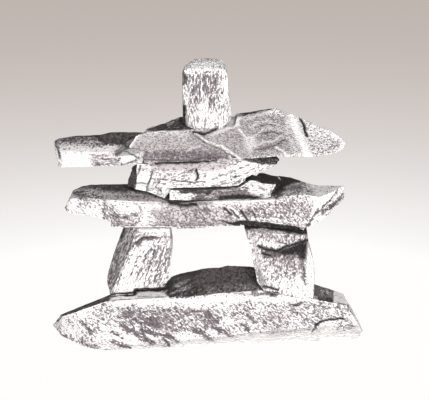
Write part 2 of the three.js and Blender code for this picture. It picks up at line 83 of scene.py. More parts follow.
def scatter(cells: Array, seed: int) -> Array:
    """Fixed random numbers for whole-number cells.

    Args:
        cells: Whole numbers, with the three coordinates of a cell on the last axis.
        seed: Picks one of many unlike sets of numbers.

    Returns:
        One number from 0 to 1 for each cell.
    """
    key = seed * SEED_PRIME
    for axis, prime in enumerate(CELL_PRIMES):
        key = key ^ cells[..., axis] * prime
    for shift, factor in zip((15, 13), MIXING_FACTORS):
        key = (key ^ (key >> shift)) * factor & WORD
    return (key ^ (key >> 16)) / float(WORD)


def weighted(weights: Sequence[float], parts: Sequence[Any]) -> Any:
    """The sum of the parts, each times its weight. The parts are numbers, arrays or sockets."""
    return sum(weight * part for weight, part in zip(weights, parts))


def ramp(values: Array, low: float, high: float) -> Array:
    """An S-shaped rise from 0 at low to 1 at high."""
    share = np.clip((values - low) / (high - low), 0.0, 1.0)
    return share * share * (3.0 - 2.0 * share)


def swell(points: Array, size: float, seed: int) -> Array:
    """A smooth random field: random values at the corners of cubes, blended inside each cube.

    Args:
        points: Places, one a row.
        size: Side of a cube, which is about half a wave.
        seed: Picks the field.

    Returns:
        One number from -1 to 1 for each place.
    """
    spots = points / size
    cells = np.floor(spots).astype(np.int64)
    part = spots - cells
    part = part * part * part * (part * (part * 6.0 - 15.0) + 10.0)
    total = np.zeros(len(points))
    for corner in CORNERS:
        weight = np.where(corner, part, 1.0 - part).prod(axis=1)
        total += weight * scatter(cells + corner, seed)
    return 2.0 * total - 1.0


def rough(points: Array, size: float, seed: int, octaves: int = 3) -> Array:
    """Swells of halving size and height, added up."""
    return sum(0.5**k * swell(points, size * 0.5**k, seed + k) for k in range(octaves))


def strikes(points: Array, size: float, seed: int) -> tuple[Array, Array]:
    """The nearest of many scattered strike points.

    Every cube of the given size holds one strike point, moved about inside it at random. Each breaks off a
    scoop round itself and a flat face that leans its own way.

    Args:
        points: Places, one a row.
        size: Mean distance between strikes.
        seed: Picks the strikes.

    Returns:
        The scoop's depth, 1 at the strike and less with the square of the distance, and the height of the
        flat face, about -1 to 1.
    """
    spots = points / size
    cells = np.floor(spots - 0.5).astype(np.int64)
    nearest = np.full(len(points), np.inf)
    height = np.zeros(len(points))
    for corner in CORNERS:
        cell = cells + corner
        shift = np.stack([scatter(cell, seed + k) for k in range(3)], axis=1) - 0.5
        lean = np.stack([scatter(cell, seed + k) for k in (3, 4, 5)], axis=1) - 0.5
        away = spots - (cell + 0.5 + STRAY * shift)
        square = (away * away).sum(axis=1)
        closer = square < nearest
        nearest = np.where(closer, square, nearest)
        face = LEAN * (away * lean).sum(axis=1) + 2.0 * scatter(cell, seed + 6) - 1.0
        height = np.where(closer, face, height)
    return np.clip(1.0 - nearest, 0.0, 1.0), height


def beds(points: Array, across: Sequence[float], spacing: float, seed: int) -> Array:
    """How far each bed of a layered stone is broken back.

    The height across the beds, warped a little, is cut into layers. Each layer has its own random setback,
    which also drifts along the stone, and neighbours meet in a short step.

    Args:
        points: Places, one a row.
        across: Direction across the beds.
        spacing: Mean thickness of a bed.
        seed: Picks the beds.

    Returns:
        Setback from 0 to 1 for each place.
    """
    normal = np.array(across) / np.linalg.norm(across)
    level = points @ normal / spacing + WARP * swell(points, WARP_SIZE * spacing, seed)
    layer = np.floor(level)
    cell = np.stack([layer, np.zeros_like(layer), np.zeros_like(layer)], axis=1).astype(np.int64)
    own, upper = scatter(cell, seed + 1), scatter(cell + 1, seed + 1)
    step = ramp(level - layer, STEP_START, 1.0)
    drift = swell(points, DRIFT_SIZE * spacing, seed + 2)
    return np.clip(own + (upper - own) * step + DRIFT * drift, 0.0, 1.0)


def flutes(points: Array, along: Sequence[float], size: float, stretch: float, seed: int) -> Array:
    """Narrow furrows that run along a direction.

    The places are squeezed along the direction, so that a swell in them is drawn out. A furrow lies where
    the swell passes through zero, and a second, wider swell lets it run out here and there.

    Args:
        points: Places, one a row.
        along: Direction of the furrows.
        size: Mean distance between furrows.
        stretch: How many times longer than wide they are.
        seed: Picks the furrows.

    Returns:
        1 in the middle of a furrow, 0 between furrows.
    """
    run = np.array(along) / np.linalg.norm(along)
    squeezed = points - np.outer(points @ run, run) * (1.0 - 1.0 / stretch)
    narrow = 1.0 - ramp(np.abs(swell(squeezed, size, seed)), 0.0, FURROW_EDGE)
    return narrow * ramp(swell(squeezed, FURROWED_SIZE * size, seed + 5), *FURROWED_FADE)


@dataclass(frozen=True)
class Viewpoint:
    """Where the photograph was taken from, in millimetres, the focal length in pixels, the clip in metres."""

    elevation: float = 15.0
    distance: float = 1500.0
    focal: float = 1500.0
    target: Triple = (6.5, 9.58, 138.3)
    frame_size: tuple[int, int] = (429, 400)
    sensor: float = 36.0
    far_clip: float = 50.0

    @property
    def back(self) -> Array:
        """Direction from the target to the camera."""
        lift = math.radians(self.elevation)
        return np.array([0.0, -math.cos(lift), math.sin(lift)])

    @property
    def eye(self) -> Array:
        """Where the camera stands."""
        return np.array(self.target) + self.distance * self.back

    def project(self, points: Array) -> Array:
        """Pixels of the photograph where places show: the centre plus focal length times offset by depth."""
        lift = math.radians(self.elevation)
        away = points - np.array(self.target)
        depth = self.distance - away @ self.back
        right = away[:, 0]
        up = away[:, 1] * math.sin(lift) + away[:, 2] * math.cos(lift)
        middle = np.array(self.frame_size) / 2.0
        return np.stack([middle[0] + self.focal * right / depth, middle[1] - self.focal * up / depth], axis=1)

    def make_camera(self) -> None:
        """Sets up the scene's camera at this viewpoint."""
        data = bpy.data.cameras.new("camera")
        data.sensor_width = self.sensor
        data.lens = self.focal * self.sensor / self.frame_size[0]
        data.clip_end = self.far_clip
        camera = bpy.data.objects.new("camera", data)
        camera.location = Vector(self.eye) / METRE
        camera.rotation_euler = Vector(-self.back).to_track_quat("-Z", "Y").to_euler()
        bpy.context.scene.collection.objects.link(camera)
        bpy.context.scene.camera = camera


class Paint(Enum):
    """What a stone's surface carries besides its shape: an attribute's name and a channel of it."""

    # Dark weathered coat on faces that look up, which is also painted shade on the tops.
    SKIN = ("weather", 0)
    # Furrows, darkened as painted shade.
    HOLLOW = ("weather", 1)
    RIM = ("weather", 2)
    # Pale veins, and painted light on joints, gaps and undersides that the lamps leave too dark.
    VEIN = ("marks", 0)
    STAIN = ("marks", 1)
    # Bare pale rock, and painted light on faces that the lamps leave too dark.
    BARE = ("marks", 2)
    # A grey film, laid also as painted shade in soft gradients.
    FILM = ("films", 0)
    SHADE = ("films", 1)


class Lie(Enum):
    """The axis that a stone is long in."""

    LEVEL = 0
    UPRIGHT = 2


class Surface:
    """The fine surface of one stone as whole arrays, in millimetres."""

    SHAKE = 0.7
    SHAKE_SIZE = 5.0
    SHAKE_SEEDS = (71, 72)
    GRAZING = 0.18
    UNFOLDING_ROUNDS = 14
    FOLD_LIMIT = 0.06
    LOOSENING = 4.0
    WORN_EDGE = (0.15, 0.8)
    CALM = 0.2

    def __init__(self, points: Array, quads: Array, outward: Array, view: Viewpoint) -> None:
        """Keeps points, quads and the ways out through the points, and works out who neighbours whom."""
        self.points = points
        self.quads = quads
        self.outward = outward / np.linalg.norm(outward, axis=1, keepdims=True)
        self.view = view
        pairs = np.concatenate([quads[:, [k, (k + 1) % 4]] for k in range(4)])
        self.ends = np.unique(np.concatenate([pairs, pairs[:, ::-1]]), axis=0)
        self.degree = np.bincount(self.ends[:, 0], minlength=len(points))
        self.paint = {kind: np.zeros(len(points)) for kind in Paint}
        self.normals = np.zeros_like(points)
        self.places = np.zeros((len(points), 2))
        self.seen = np.zeros(len(points))
        self.refresh()

    def refresh(self) -> None:
        """Works out the normals: the crossed diagonals of the quads round a point, added up."""
        corners = self.points[self.quads]
        across = np.cross(corners[:, 2] - corners[:, 0], corners[:, 3] - corners[:, 1])
        flat = self.quads.ravel()
        total = [
            np.bincount(flat, np.repeat(across[:, k], 4), minlength=len(self.points)) for k in range(3)
        ]
        normals = np.stack(total, axis=1)
        self.normals = normals / np.maximum(np.linalg.norm(normals, axis=1, keepdims=True), TINY)

    def even(self, values: Array, rounds: int) -> Array:
        """Values evened out: each becomes half itself and half its neighbours' mean, so many times."""
        columns = values.reshape(len(values), -1)
        for _ in range(rounds):
            total = np.stack(
                [
                    np.bincount(self.ends[:, 0], columns[self.ends[:, 1], k], minlength=len(values))
                    for k in range(columns.shape[1])
                ],
                axis=1,
            )
            columns = 0.5 * columns + 0.5 * total / self.degree[:, None]
        return columns.reshape(values.shape)

    def unfold(self) -> None:
        """Evens the surface out where it has folded over, which is where it faces against its way out."""
        for _ in range(self.UNFOLDING_ROUNDS):
            folded = (self.normals * self.outward).sum(axis=1) < self.FOLD_LIMIT
            if not folded.any():
                break
            loose = np.minimum(1.0, self.LOOSENING * self.even(folded.astype(float), 2))[:, None]
            self.points = self.points + loose * (self.even(self.points, 3) - self.points)
            self.refresh()
        LOG.info("%d points still folded", folded.sum())

    def wear(self, rounds: int) -> None:
        """Rounds off the edges, and notes how much went as the rim."""
        worn = self.even(self.points, rounds)
        lost = ((self.points - worn) * self.normals).sum(axis=1)
        self.mark(Paint.RIM, ramp(lost, *self.WORN_EDGE))
        self.points = worn
        self.refresh()

    def sink(self, depth: Array) -> None:
        """Lowers the surface by a depth."""
        self.points = self.points - self.normals * depth[:, None]
        self.refresh()

    def weather(self, rounds: int, reach: float) -> None:
        """Notes crests as rims and furrows as hollows, by how far they stand off the evened surface; the
        hollows get painted shade.
        """
        stand = ((self.points - self.even(self.points, rounds)) * self.normals).sum(axis=1)
        self.mark(Paint.RIM, ramp(stand, self.CALM * reach, reach))
        self.mark(Paint.HOLLOW, ramp(-stand, self.CALM * reach, reach))

    def look(self) -> None:
        """Notes where the photograph shows each point, and 1 or 0 for what faces its camera or not.

        The places are shaken a little, so that no mark runs straight.
        """
        shake = np.stack([rough(self.points, self.SHAKE_SIZE, seed, 2) for seed in self.SHAKE_SEEDS], axis=1)
        self.places = self.view.project(self.points) + self.SHAKE * shake
        sight = self.view.eye - self.points
        sight /= np.linalg.norm(sight, axis=1, keepdims=True)
        self.seen = ramp((self.normals * sight).sum(axis=1), 0.0, self.GRAZING)

    def off(self, path: Path) -> Array:
        """Squared distance in pixels to a path, to the nearest point of each stretch, a clamped foot."""
        stops = np.array(path, float)
        best = np.full(len(self.places), np.inf)
        for start, end in zip(stops[: max(1, len(stops) - 1)], stops[min(1, len(stops) - 1) :]):
            run = end - start
            share = np.clip((self.places - start) @ run / max(run @ run, TINY), 0.0, 1.0)
            gap = self.places - (start + share[:, None] * run)
            best = np.minimum(best, (gap * gap).sum(axis=1))
        return best

    def near(self, path: Path, width: float) -> Array:
        """1 on a path across the photograph, a third at its width in pixels, 0 on what isn't seen."""
        return np.exp(-self.off(path) / width**2) * self.seen

    def within(self, outline: Path, soft: float) -> Array:
        """1 inside a closed outline on the photograph, falling to 0 over a soft edge in pixels.

        A place is inside where a line to its right crosses the outline an odd number of times.
        """
        closed = (*outline, outline[0])
        inside = np.zeros(len(self.places), bool)
        column, row = self.places.T
        for (x0, y0), (x1, y1) in zip(closed, closed[1:]):
            if y0 != y1:
                crosses = (y0 > row) != (y1 > row)
                inside ^= crosses & (column < x0 + (x1 - x0) * (row - y0) / (y1 - y0))
        edge = np.sqrt(self.off(closed)) * np.where(inside, 1.0, -1.0)
        return ramp(edge, -0.5 * soft, 0.5 * soft) * self.seen

    def mark(self, kind: Paint, amount: Array) -> None:
        """Paints the surface where the amount is more than is there."""
        self.paint[kind] = np.maximum(self.paint[kind], np.clip(amount, 0.0, 1.0))

    def to_object(self, name: str) -> bpy.types.Object:
        """The surface as a mesh object at the origin, with its paints as colour attributes."""
        mesh = bpy.data.meshes.new(name)
        mesh.vertices.add(len(self.points))
        mesh.vertices.foreach_set("co", (self.points / METRE).astype(np.float32).ravel())
        mesh.loops.add(self.quads.size)
        mesh.loops.foreach_set("vertex_index", self.quads.astype(np.int32).ravel())
        mesh.polygons.add(len(self.quads))
        mesh.polygons.foreach_set("loop_start", np.arange(0, self.quads.size, 4, dtype=np.int32))
        mesh.update(calc_edges=True)
        mesh.validate()
        mesh.shade_smooth()
        for label in LAYERS:
            colours = np.ones((len(self.points), 4), np.float32)
            for kind in Paint:
                if kind.value[0] == label:
                    colours[:, kind.value[1]] = self.paint[kind]
            attribute = mesh.attributes.new(label, "FLOAT_COLOR", "POINT")
            attribute.data.foreach_set("color", colours.ravel())
        piece = bpy.data.objects.new(name, mesh)
        bpy.context.scene.collection.objects.link(piece)
        return piece


def block_grid(counts: Sequence[int]) -> tuple[Array, Array]:
    """The six sides of a block, each a grid of two parameters, joined along the block's edges.

    Args:
        counts: Squares along the block's three sides.

    Returns:
        Places on the block from -1 to 1 each way, and quads with their corners in order seen from outside.
    """
    counts = np.array(counts)
    stride = np.array([(counts[1] + 1) * (counts[2] + 1), counts[2] + 1, 1])
    loops = []
    for axis in range(3):
        first, second = (axis + 1) % 3, (axis + 2) % 3
        across, along = np.eye(3, dtype=int)[[first, second]]
        rows, columns = np.meshgrid(np.arange(counts[first]), np.arange(counts[second]), indexing="ij")
        corner = rows[..., None] * across + columns[..., None] * along
        square = np.stack([corner, corner + across, corner + across + along, corner + along], axis=-2)
        far = square + counts * np.eye(3, dtype=int)[axis]
        loops += [(far @ stride).reshape(-1, 4), (square @ stride).reshape(-1, 4)[:, ::-1]]
    ids, quads = np.unique(np.concatenate(loops), return_inverse=True)
    places = np.stack([ids // stride[0], ids % stride[0] // stride[1], ids % stride[1]], axis=1)
    return 2.0 * places / counts - 1.0, quads.reshape(-1, 4)


class Solid:
    """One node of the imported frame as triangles, in millimetres."""

    CORE = 0.85
    CHUNK = 4_000_000
    STATIONS = 61
    LEAST_AREA = 1e-6
    LEAST_SPEED = 1e-6
    EDGE_SLACK = 2e-3
    FAR = 4.0

    def __init__(self, node: str) -> None:
        """Reads the node's triangles."""
        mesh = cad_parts[node].data
        mesh.calc_loop_triangles()
        points = np.empty(len(mesh.vertices) * 3, np.float32)
        mesh.vertices.foreach_get("co", points)
        index = np.empty(len(mesh.loop_triangles) * 3, np.int32)
        mesh.loop_triangles.foreach_get("vertices", index)
        corners = points.reshape(-1, 3).astype(float)[index].reshape(-1, 3, 3) * METRE
        normals = np.cross(corners[:, 1] - corners[:, 0], corners[:, 2] - corners[:, 0])
        size = np.linalg.norm(normals, axis=1)
        sound = size > self.LEAST_AREA
        self.corners = corners[sound]
        self.normals = normals[sound] / size[sound, None]
        self.low = corners.min(axis=(0, 1))
        self.high = corners.max(axis=(0, 1))

    def sections(self, axis: int, stations: Array) -> tuple[Array, Array]:
        """Middles and half sizes of the solid's sections at stations along an axis, each three wide.

        A triangle's edge that crosses a station gives one point of its section, in proportion along the
        edge. A section's middle is that of the box round its points.
        """
        starts = self.corners.reshape(-1, 3)
        ends = self.corners[:, [1, 2, 0]].reshape(-1, 3)
        run = ends[:, axis] - starts[:, axis]
        share = (stations[:, None] - starts[:, axis]) / np.where(np.abs(run) < TINY, TINY, run)
        hit = (share >= 0.0) & (share <= 1.0)
        spots = starts + share[..., None] * (ends - starts)
        low = np.where(hit[..., None], spots, np.inf).min(axis=1)
        high = np.where(hit[..., None], spots, -np.inf).max(axis=1)
        return (low + high) / 2.0, (high - low) / 2.0

    def reach(self, origins: Array, directions: Array) -> Array:
        """How far rays run before they leave the solid for the last time, in lengths of their direction.

        A ray meets a triangle's plane at the gap to the plane divided by its speed towards it, and that spot
        is inside the triangle where it lies on the inner side of all three edges.
        """
        corners = self.corners
        edges = corners[:, [1, 2, 0]] - corners
        inward = np.cross(self.normals[:, None], edges)
        inward = (inward / np.maximum(np.linalg.norm(inward, axis=2, keepdims=True), TINY)).astype(np.float32)
        limits = (inward * corners).sum(axis=2).astype(np.float32)
        planes = (self.normals * corners[:, 0]).sum(axis=1).astype(np.float32)
        normals = self.normals.astype(np.float32)
        best = np.zeros(len(origins))
        pieces = max(1, len(origins) * len(corners) // self.CHUNK)
        for rows in np.array_split(np.arange(len(origins)), pieces):
            start, way = origins[rows].astype(np.float32), directions[rows].astype(np.float32)
            speed = way @ normals.T
            gap = planes - start @ normals.T
            ahead = speed > self.LEAST_SPEED
            length = np.where(ahead, gap / np.where(ahead, speed, 1.0), 0.0)
            for k in range(3):
                rise = start @ inward[:, k].T - limits[:, k] + length * (way @ inward[:, k].T)
                length = np.where(rise > -self.EDGE_SLACK, length, 0.0)
            best[rows] = length.max(axis=1)
        return best

    def sink_core(self, origins: Array, axis: int) -> None:
        """Moves places along an axis to half way between the solid's first and last surface there."""
        away = np.zeros(3)
        away[axis] = self.FAR * (self.high - self.low).max()
        flat = origins.copy()
        flat[:, axis] = (self.low[axis] + self.high[axis]) / 2.0
        ends = [self.reach(flat - sign * away, np.tile(sign * away, (len(flat), 1))) for sign in (1.0, -1.0)]
        held = (ends[0] > 0.0) & (ends[1] > 0.0)
        shift = (ends[0] - ends[1]) / 2.0 * away[axis]
        origins[held, axis] = (flat[:, axis] + shift)[held]

    def wrap(self, lie: Lie, spacing: Sequence[float], view: Viewpoint) -> Surface:
        """Throws a block's surface onto the solid.

        A place on the block has three shares from -1 to 1. Its ray starts on a core, which is the block
        shrunk towards the line through the sections' middles, and runs through the same place of a block
        as wide as the section is there.

        Args:
            lie: The axis that the stone is long in.
            spacing: Distance between points in X, Y and Z.
            view: The photograph's viewpoint.

        Returns:
            The surface of the stone.
        """
        half = (self.high - self.low) / 2.0
        counts = np.maximum(4, np.round(2.0 * half / np.array(spacing)).astype(int))
        shares, quads = block_grid(counts)
        core = self.CORE * (1.0 - half.min() / half)
        axis = lie.value
        middle = (self.low + self.high) / 2.0
        stations = middle[axis] + np.linspace(-1.0, 1.0, self.STATIONS) * core[axis] * half[axis]
        middles, halves = self.sections(axis, stations)
        along = middle[axis] + shares[:, axis] * core[axis] * half[axis]
        centre = np.stack([np.interp(along, stations, middles[:, k]) for k in range(3)], axis=1)
        width = np.stack([np.interp(along, stations, halves[:, k]) for k in range(3)], axis=1)
        width[:, axis] = half[axis]
        origins = centre + shares * core * width * (np.arange(3) != axis)
        origins[:, axis] = along
        self.sink_core(origins, int(half.argmin()))
        directions = shares * (1.0 - core) * width
        length = self.reach(origins, directions)
        missed = length <= 0.0
        length[missed] = np.median(length[~missed])
        LOG.info("wrapped %d points on %d triangles, %d missed", len(shares), len(self.corners), missed.sum())
        return Surface(origins + directions * length[:, None], quads, directions, view)


class Socket:
    """A number's socket in a shader, for writing shader maths as Python expressions."""

    def __init__(self, tree: Shader, socket: bpy.types.NodeSocket) -> None:
        """Wraps a socket of a tree."""
        self.tree = tree
        self.socket = socket

    def maths(self, operation: str, *others: Any, clamp: bool = False) -> Socket:
        """A Math node on this value and others."""
        settings = {"operation": operation, "use_clamp": clamp}
        return self.tree.add("ShaderNodeMath", settings, dict(enumerate((self, *others))))

    def __add__(self, other: Any) -> Socket:
        """Sum."""
        return self.maths("ADD", other)

    def __sub__(self, other: Any) -> Socket:
        """Difference."""
        return self.maths("SUBTRACT", other)

    def __rsub__(self, other: Any) -> Socket:
        """Difference the other way round."""
        return self.maths("MULTIPLY", -1.0).maths("ADD", other)

    def __mul__(self, other: Any) -> Socket:
        """Product."""
        return self.maths("MULTIPLY", other)

    __radd__, __rmul__ = __add__, __mul__

    def rise(self, low: float, high: float) -> Socket:
        """An S-shaped rise from 0 at low to 1 at high, or a fall where low is the larger."""
        settings = {"interpolation_type": "SMOOTHSTEP"}
        return self.tree.add("ShaderNodeMapRange", settings, {0: self, 1: low, 2: high, 3: 0.0, 4: 1.0})

    def held(self) -> Socket:
        """The value held between 0 and 1."""
        return self.maths("ADD", 0.0, clamp=True)


class Shader:
    """One material and its nodes."""

    def __init__(self, name: str) -> None:
        """Makes the material with an empty tree."""
        self.material = bpy.data.materials.new(name)
        self.material.use_nodes = True
        self.nodes = self.material.node_tree.nodes
        self.links = self.material.node_tree.links
        self.nodes.clear()

    def add(
        self,
        kind: str,
        settings: dict[str, Any] | None = None,
        values: dict[Any, Any] | None = None,
        output: int | str = 0,
    ) -> Socket:
        """Makes any node.

        Args:
            kind: The node's type.
            settings: The node's own properties, set first.
            values: Numbers, colours or links, by the name or number of their socket.
            output: Which output is wanted.

        Returns:
            The wanted output.
        """
        node = self.nodes.new(kind)
        for key, value in (settings or {}).items():
            setattr(node, key, value)
        for key, value in (values or {}).items():
            if isinstance(value, Socket):
                self.links.new(value.socket, node.inputs[key])
            elif isinstance(value, (tuple, list)) and node.inputs[key].type == "RGBA":
                node.inputs[key].default_value = (*value, 1.0)
            else:
                node.inputs[key].default_value = value
        return Socket(self, node.outputs[output])

    def blend(self, factor: Any, first: Any, second: Any) -> Socket:
        """A colour between two."""
        settings = {"data_type": "RGBA", "clamp_factor": True}
        return self.add("ShaderNodeMix", settings, {0: factor, 6: first, 7: second}, output=2)

    def noise(self, where: Socket, scale: float, detail: float = 2.0, roughness: float = 0.55) -> Socket:
        """Cloudy noise, about 0.5 on average."""
        values = {"Vector": where, "Scale": scale, "Detail": detail, "Roughness": roughness}
        return self.add("ShaderNodeTexNoise", {}, values)

    def finish(self, surface: Socket) -> bpy.types.Material:
        """Links the surface to the output."""
        output = self.nodes.new("ShaderNodeOutputMaterial")
        self.links.new(surface.socket, output.inputs["Surface"])
        return self.material


@dataclass(frozen=True)
class Grain:
    """A kind of dark grain.

    Its noise has a scale, a detail, a roughness and a spread. Crowding adds to the noise, and a grain's edge
    begins and ends near the level that the noise has to reach.
    """

    noise: Triple
    spread: float
    crowding: float
    edge: tuple[float, float]

    def spots(self, noise: Socket, crowd: Socket, share: float) -> Socket:
        """1 on grains and 0 between them, so that they cover a share of the surface."""
        level = MEAN + self.spread * (MEAN - share)
        return (noise + self.crowding * crowd).rise(*(level + limit for limit in self.edge))


@dataclass(frozen=True)
class Finish:
    """The mineral look of a stone, with its painted shade and painted light. Sizes in millimetres, turn in
    degrees round X, Y and Z.

    Specks and flecks are the shares of the surface that the small and the large dark grains cover.
    """

    pale: Colour = (0.76, 0.735, 0.73)
    grey: Colour = (0.17, 0.145, 0.155)
    fleck: Colour = (0.07, 0.055, 0.065)
    # Grey of the film and of the painted shade laid with it.
    film: Colour = (0.42, 0.385, 0.385)
    # Dark of the weathered coat of the tops, which is painted shade there as well.
    skin: Colour = (0.07, 0.056, 0.051)
    shade: Colour = (0.02, 0.016, 0.017)
    # Pale of the veins and of painted light.
    vein: Colour = (0.9, 0.88, 0.87)
    grain: Triple = (2.2, 1.25, 1.2)
    top_grain: Triple = (1.7, 4.0, 1.7)
    turn: Triple = (0.0, 0.0, 0.0)
    specks: float = 0.4
    flecks: float = 0.16
    mottling: float = 0.2
    bump: float = 0.8

    SMALL = Grain((0.8, 1.0, 0.6), 0.3, 0.8, (-0.05, 0.09))
    LARGE = Grain((0.5, 2.5, 0.65), 0.32, 1.0, (-0.03, 0.05))
    CLOUD_SCALE = 45.0
    DUST_SCALE = 700.0
    # Where each begins and ends as its noise rises.
    MOTTLES = (0.4, 0.68)
    DOTS = (0.6, 0.68)
    PALE_FLECKS = (0.42, 0.62)
    CRUST = (0.2, 0.8)
    CRUST_GRAINS = (0.44, 0.62)
    CRUST_FLECKS = (0.5, 0.58)
    VEIN_GRAINS = (0.4, 0.54)
    # How strongly each covers what is under it.
    DOT_COVER, SPECK_COVER, FLECK_COVER, HOLLOW_COVER, CRUST_COVER = 0.75, 0.9, 0.95, 0.5, 0.97
    CRUST_GRAIN_COVER, CRUST_FLECK_COVER = 0.9, 0.85
    # Weights of stain, of bare places and painted light, of the hollows' painted shade, of rim and of cloud
    # in what crowds the grains, and of that in the dots.
    CROWDING, DOT_CROWDING = (0.24, -0.2, 0.1, -0.07, 0.2), 0.6
    # Weights of the weathered coat and top shade, of film and painted shade, of bare places and painted
    # light, of cloud and of small grains in the crust, which is weathering and painted shade of the tops in
    # one, and of stain in its flecks.
    CRUSTING, CRUST_STAIN = (1.0, -1.0, -0.9, 0.4, 1.1), 0.5
    # Weights of rim and of bare places and painted light in what makes the rock paler, and the least share of
    # the painted shade in the hollows, to which the fine noise adds.
    PALING, LEAST_DUST = (0.35, 0.4), 0.2
    # How far a shade covers, and how far small grains break it.
    SHADE_COVER, SHADE_BREAK = 2.1, 1.9
    # How the stone reflects, how high its grains stand, in metres, and each noise's part in that.
    ROUGHNESS, CRUST_SHINE, SPECULAR = 0.9, 0.1, 0.25
    BUMP_DISTANCE, HEIGHTS = 0.0018, (0.8, 0.2, 0.7, -0.3)

    def material(self, name: str) -> bpy.types.Material:
        """Makes the stone's material.

        Pale rock, a little mottled, is peppered with small grey specks and larger dark flecks that lie along
        the grain. Stains and furrows draw the grains together, bare places, painted light and crests keep
        them away. A film, laid also as painted shade, greys the rock under its grains, painted shade darkens
        the furrows, the skin of a weathered bed, which is painted shade on the tops as well, covers most of
        it and a painted shade darkens it. Veins, painted light and worn rims are pale.
        """
        shader = Shader(name)
        place = shader.add("ShaderNodeTexCoord", output="Object")
        layers = {
            label: shader.add("ShaderNodeAttribute", {"attribute_name": label}, output="Color")
            for label in LAYERS
        }
        skin, hollow, rim, vein, stain, bare, film, shade = (
            shader.add("ShaderNodeSeparateColor", {}, {0: layers[paint.value[0]]}, paint.value[1])
            for paint in Paint
        )
        stretch = tuple(size / METRE for size in self.grain)
        angles = tuple(math.radians(angle) for angle in self.turn)
        values = {"Vector": place, "Rotation": angles, "Scale": stretch}
        grain = shader.add("ShaderNodeMapping", {"vector_type": "TEXTURE"}, values)
        values = {"Vector": place, "Scale": tuple(size / METRE for size in self.top_grain)}
        top_grain = shader.add("ShaderNodeMapping", {"vector_type": "TEXTURE"}, values)
        small, large = (
            own + skin * (shader.noise(top_grain, *kind.noise) - own)
            for kind in (self.SMALL, self.LARGE)
            for own in (shader.noise(grain, *kind.noise),)
        )
        cloud = shader.noise(place, self.CLOUD_SCALE, detail=3.0)
        dust = shader.noise(place, self.DUST_SCALE, detail=1.0)
        crowd = weighted(self.CROWDING, (stain, bare, hollow, rim, cloud - MEAN))
        speck = self.SMALL.spots(small, crowd, self.specks)
        fleck = self.LARGE.spots(large, crowd, self.flecks)
        dots = (dust + self.DOT_CROWDING * crowd).rise(*self.DOTS)
        # Crust on the tops: weathered coat and painted shade of the tops in one, taken back where film and
        # bare places are.
        crust = weighted(self.CRUSTING, (skin, film, bare, cloud - MEAN, small - MEAN)).rise(*self.CRUST)
        crust_flecks = (large + self.CRUST_STAIN * stain).rise(*self.CRUST_FLECKS)
        fleck_tone = shader.blend(dust.rise(*self.PALE_FLECKS), self.fleck, self.grey)
        crust_tone = shader.blend(
            self.CRUST_GRAIN_COVER * small.rise(*self.CRUST_GRAINS), self.skin, self.grey
        )
        crust_tone = shader.blend(self.CRUST_FLECK_COVER * crust_flecks, crust_tone, self.shade)
        tone: Any = self.pale
        for cover, colour in (
            (self.mottling * cloud.rise(*self.MOTTLES), self.film),
            # Grey film, also painted shade.
            (film, self.film),
            # Worn rims, bare rock and painted light make the rock paler.
            (weighted(self.PALING, (rim, bare)), self.vein),
            (self.DOT_COVER * dots, self.grey),
            (self.SPECK_COVER * speck, self.grey),
            (self.FLECK_COVER * fleck, fleck_tone),
            # Painted shade in the furrows, broken up by the fine noise.
            (self.HOLLOW_COVER * hollow * (self.LEAST_DUST + dust), self.fleck),
            (self.CRUST_COVER * crust, crust_tone),
            # Veins and painted light, broken by small grains.
            (vein * small.rise(*self.VEIN_GRAINS), self.vein),
            ((shade * (self.SHADE_COVER - self.SHADE_BREAK * small)).held(), self.shade),
        ):
            tone = shader.blend(cover, tone, colour)
        relief = weighted(self.HEIGHTS, (small, dust, large, fleck))
        values = {"Strength": self.bump, "Distance": self.BUMP_DISTANCE, "Height": relief}
        bumped = shader.add("ShaderNodeBump", {}, values)
        values = {"Base Color": tone, "Roughness": self.ROUGHNESS - self.CRUST_SHINE * crust}
        values |= {"Normal": bumped, "Specular IOR Level": self.SPECULAR}
        return shader.finish(shader.add("ShaderNodeBsdfPrincipled", {}, values))


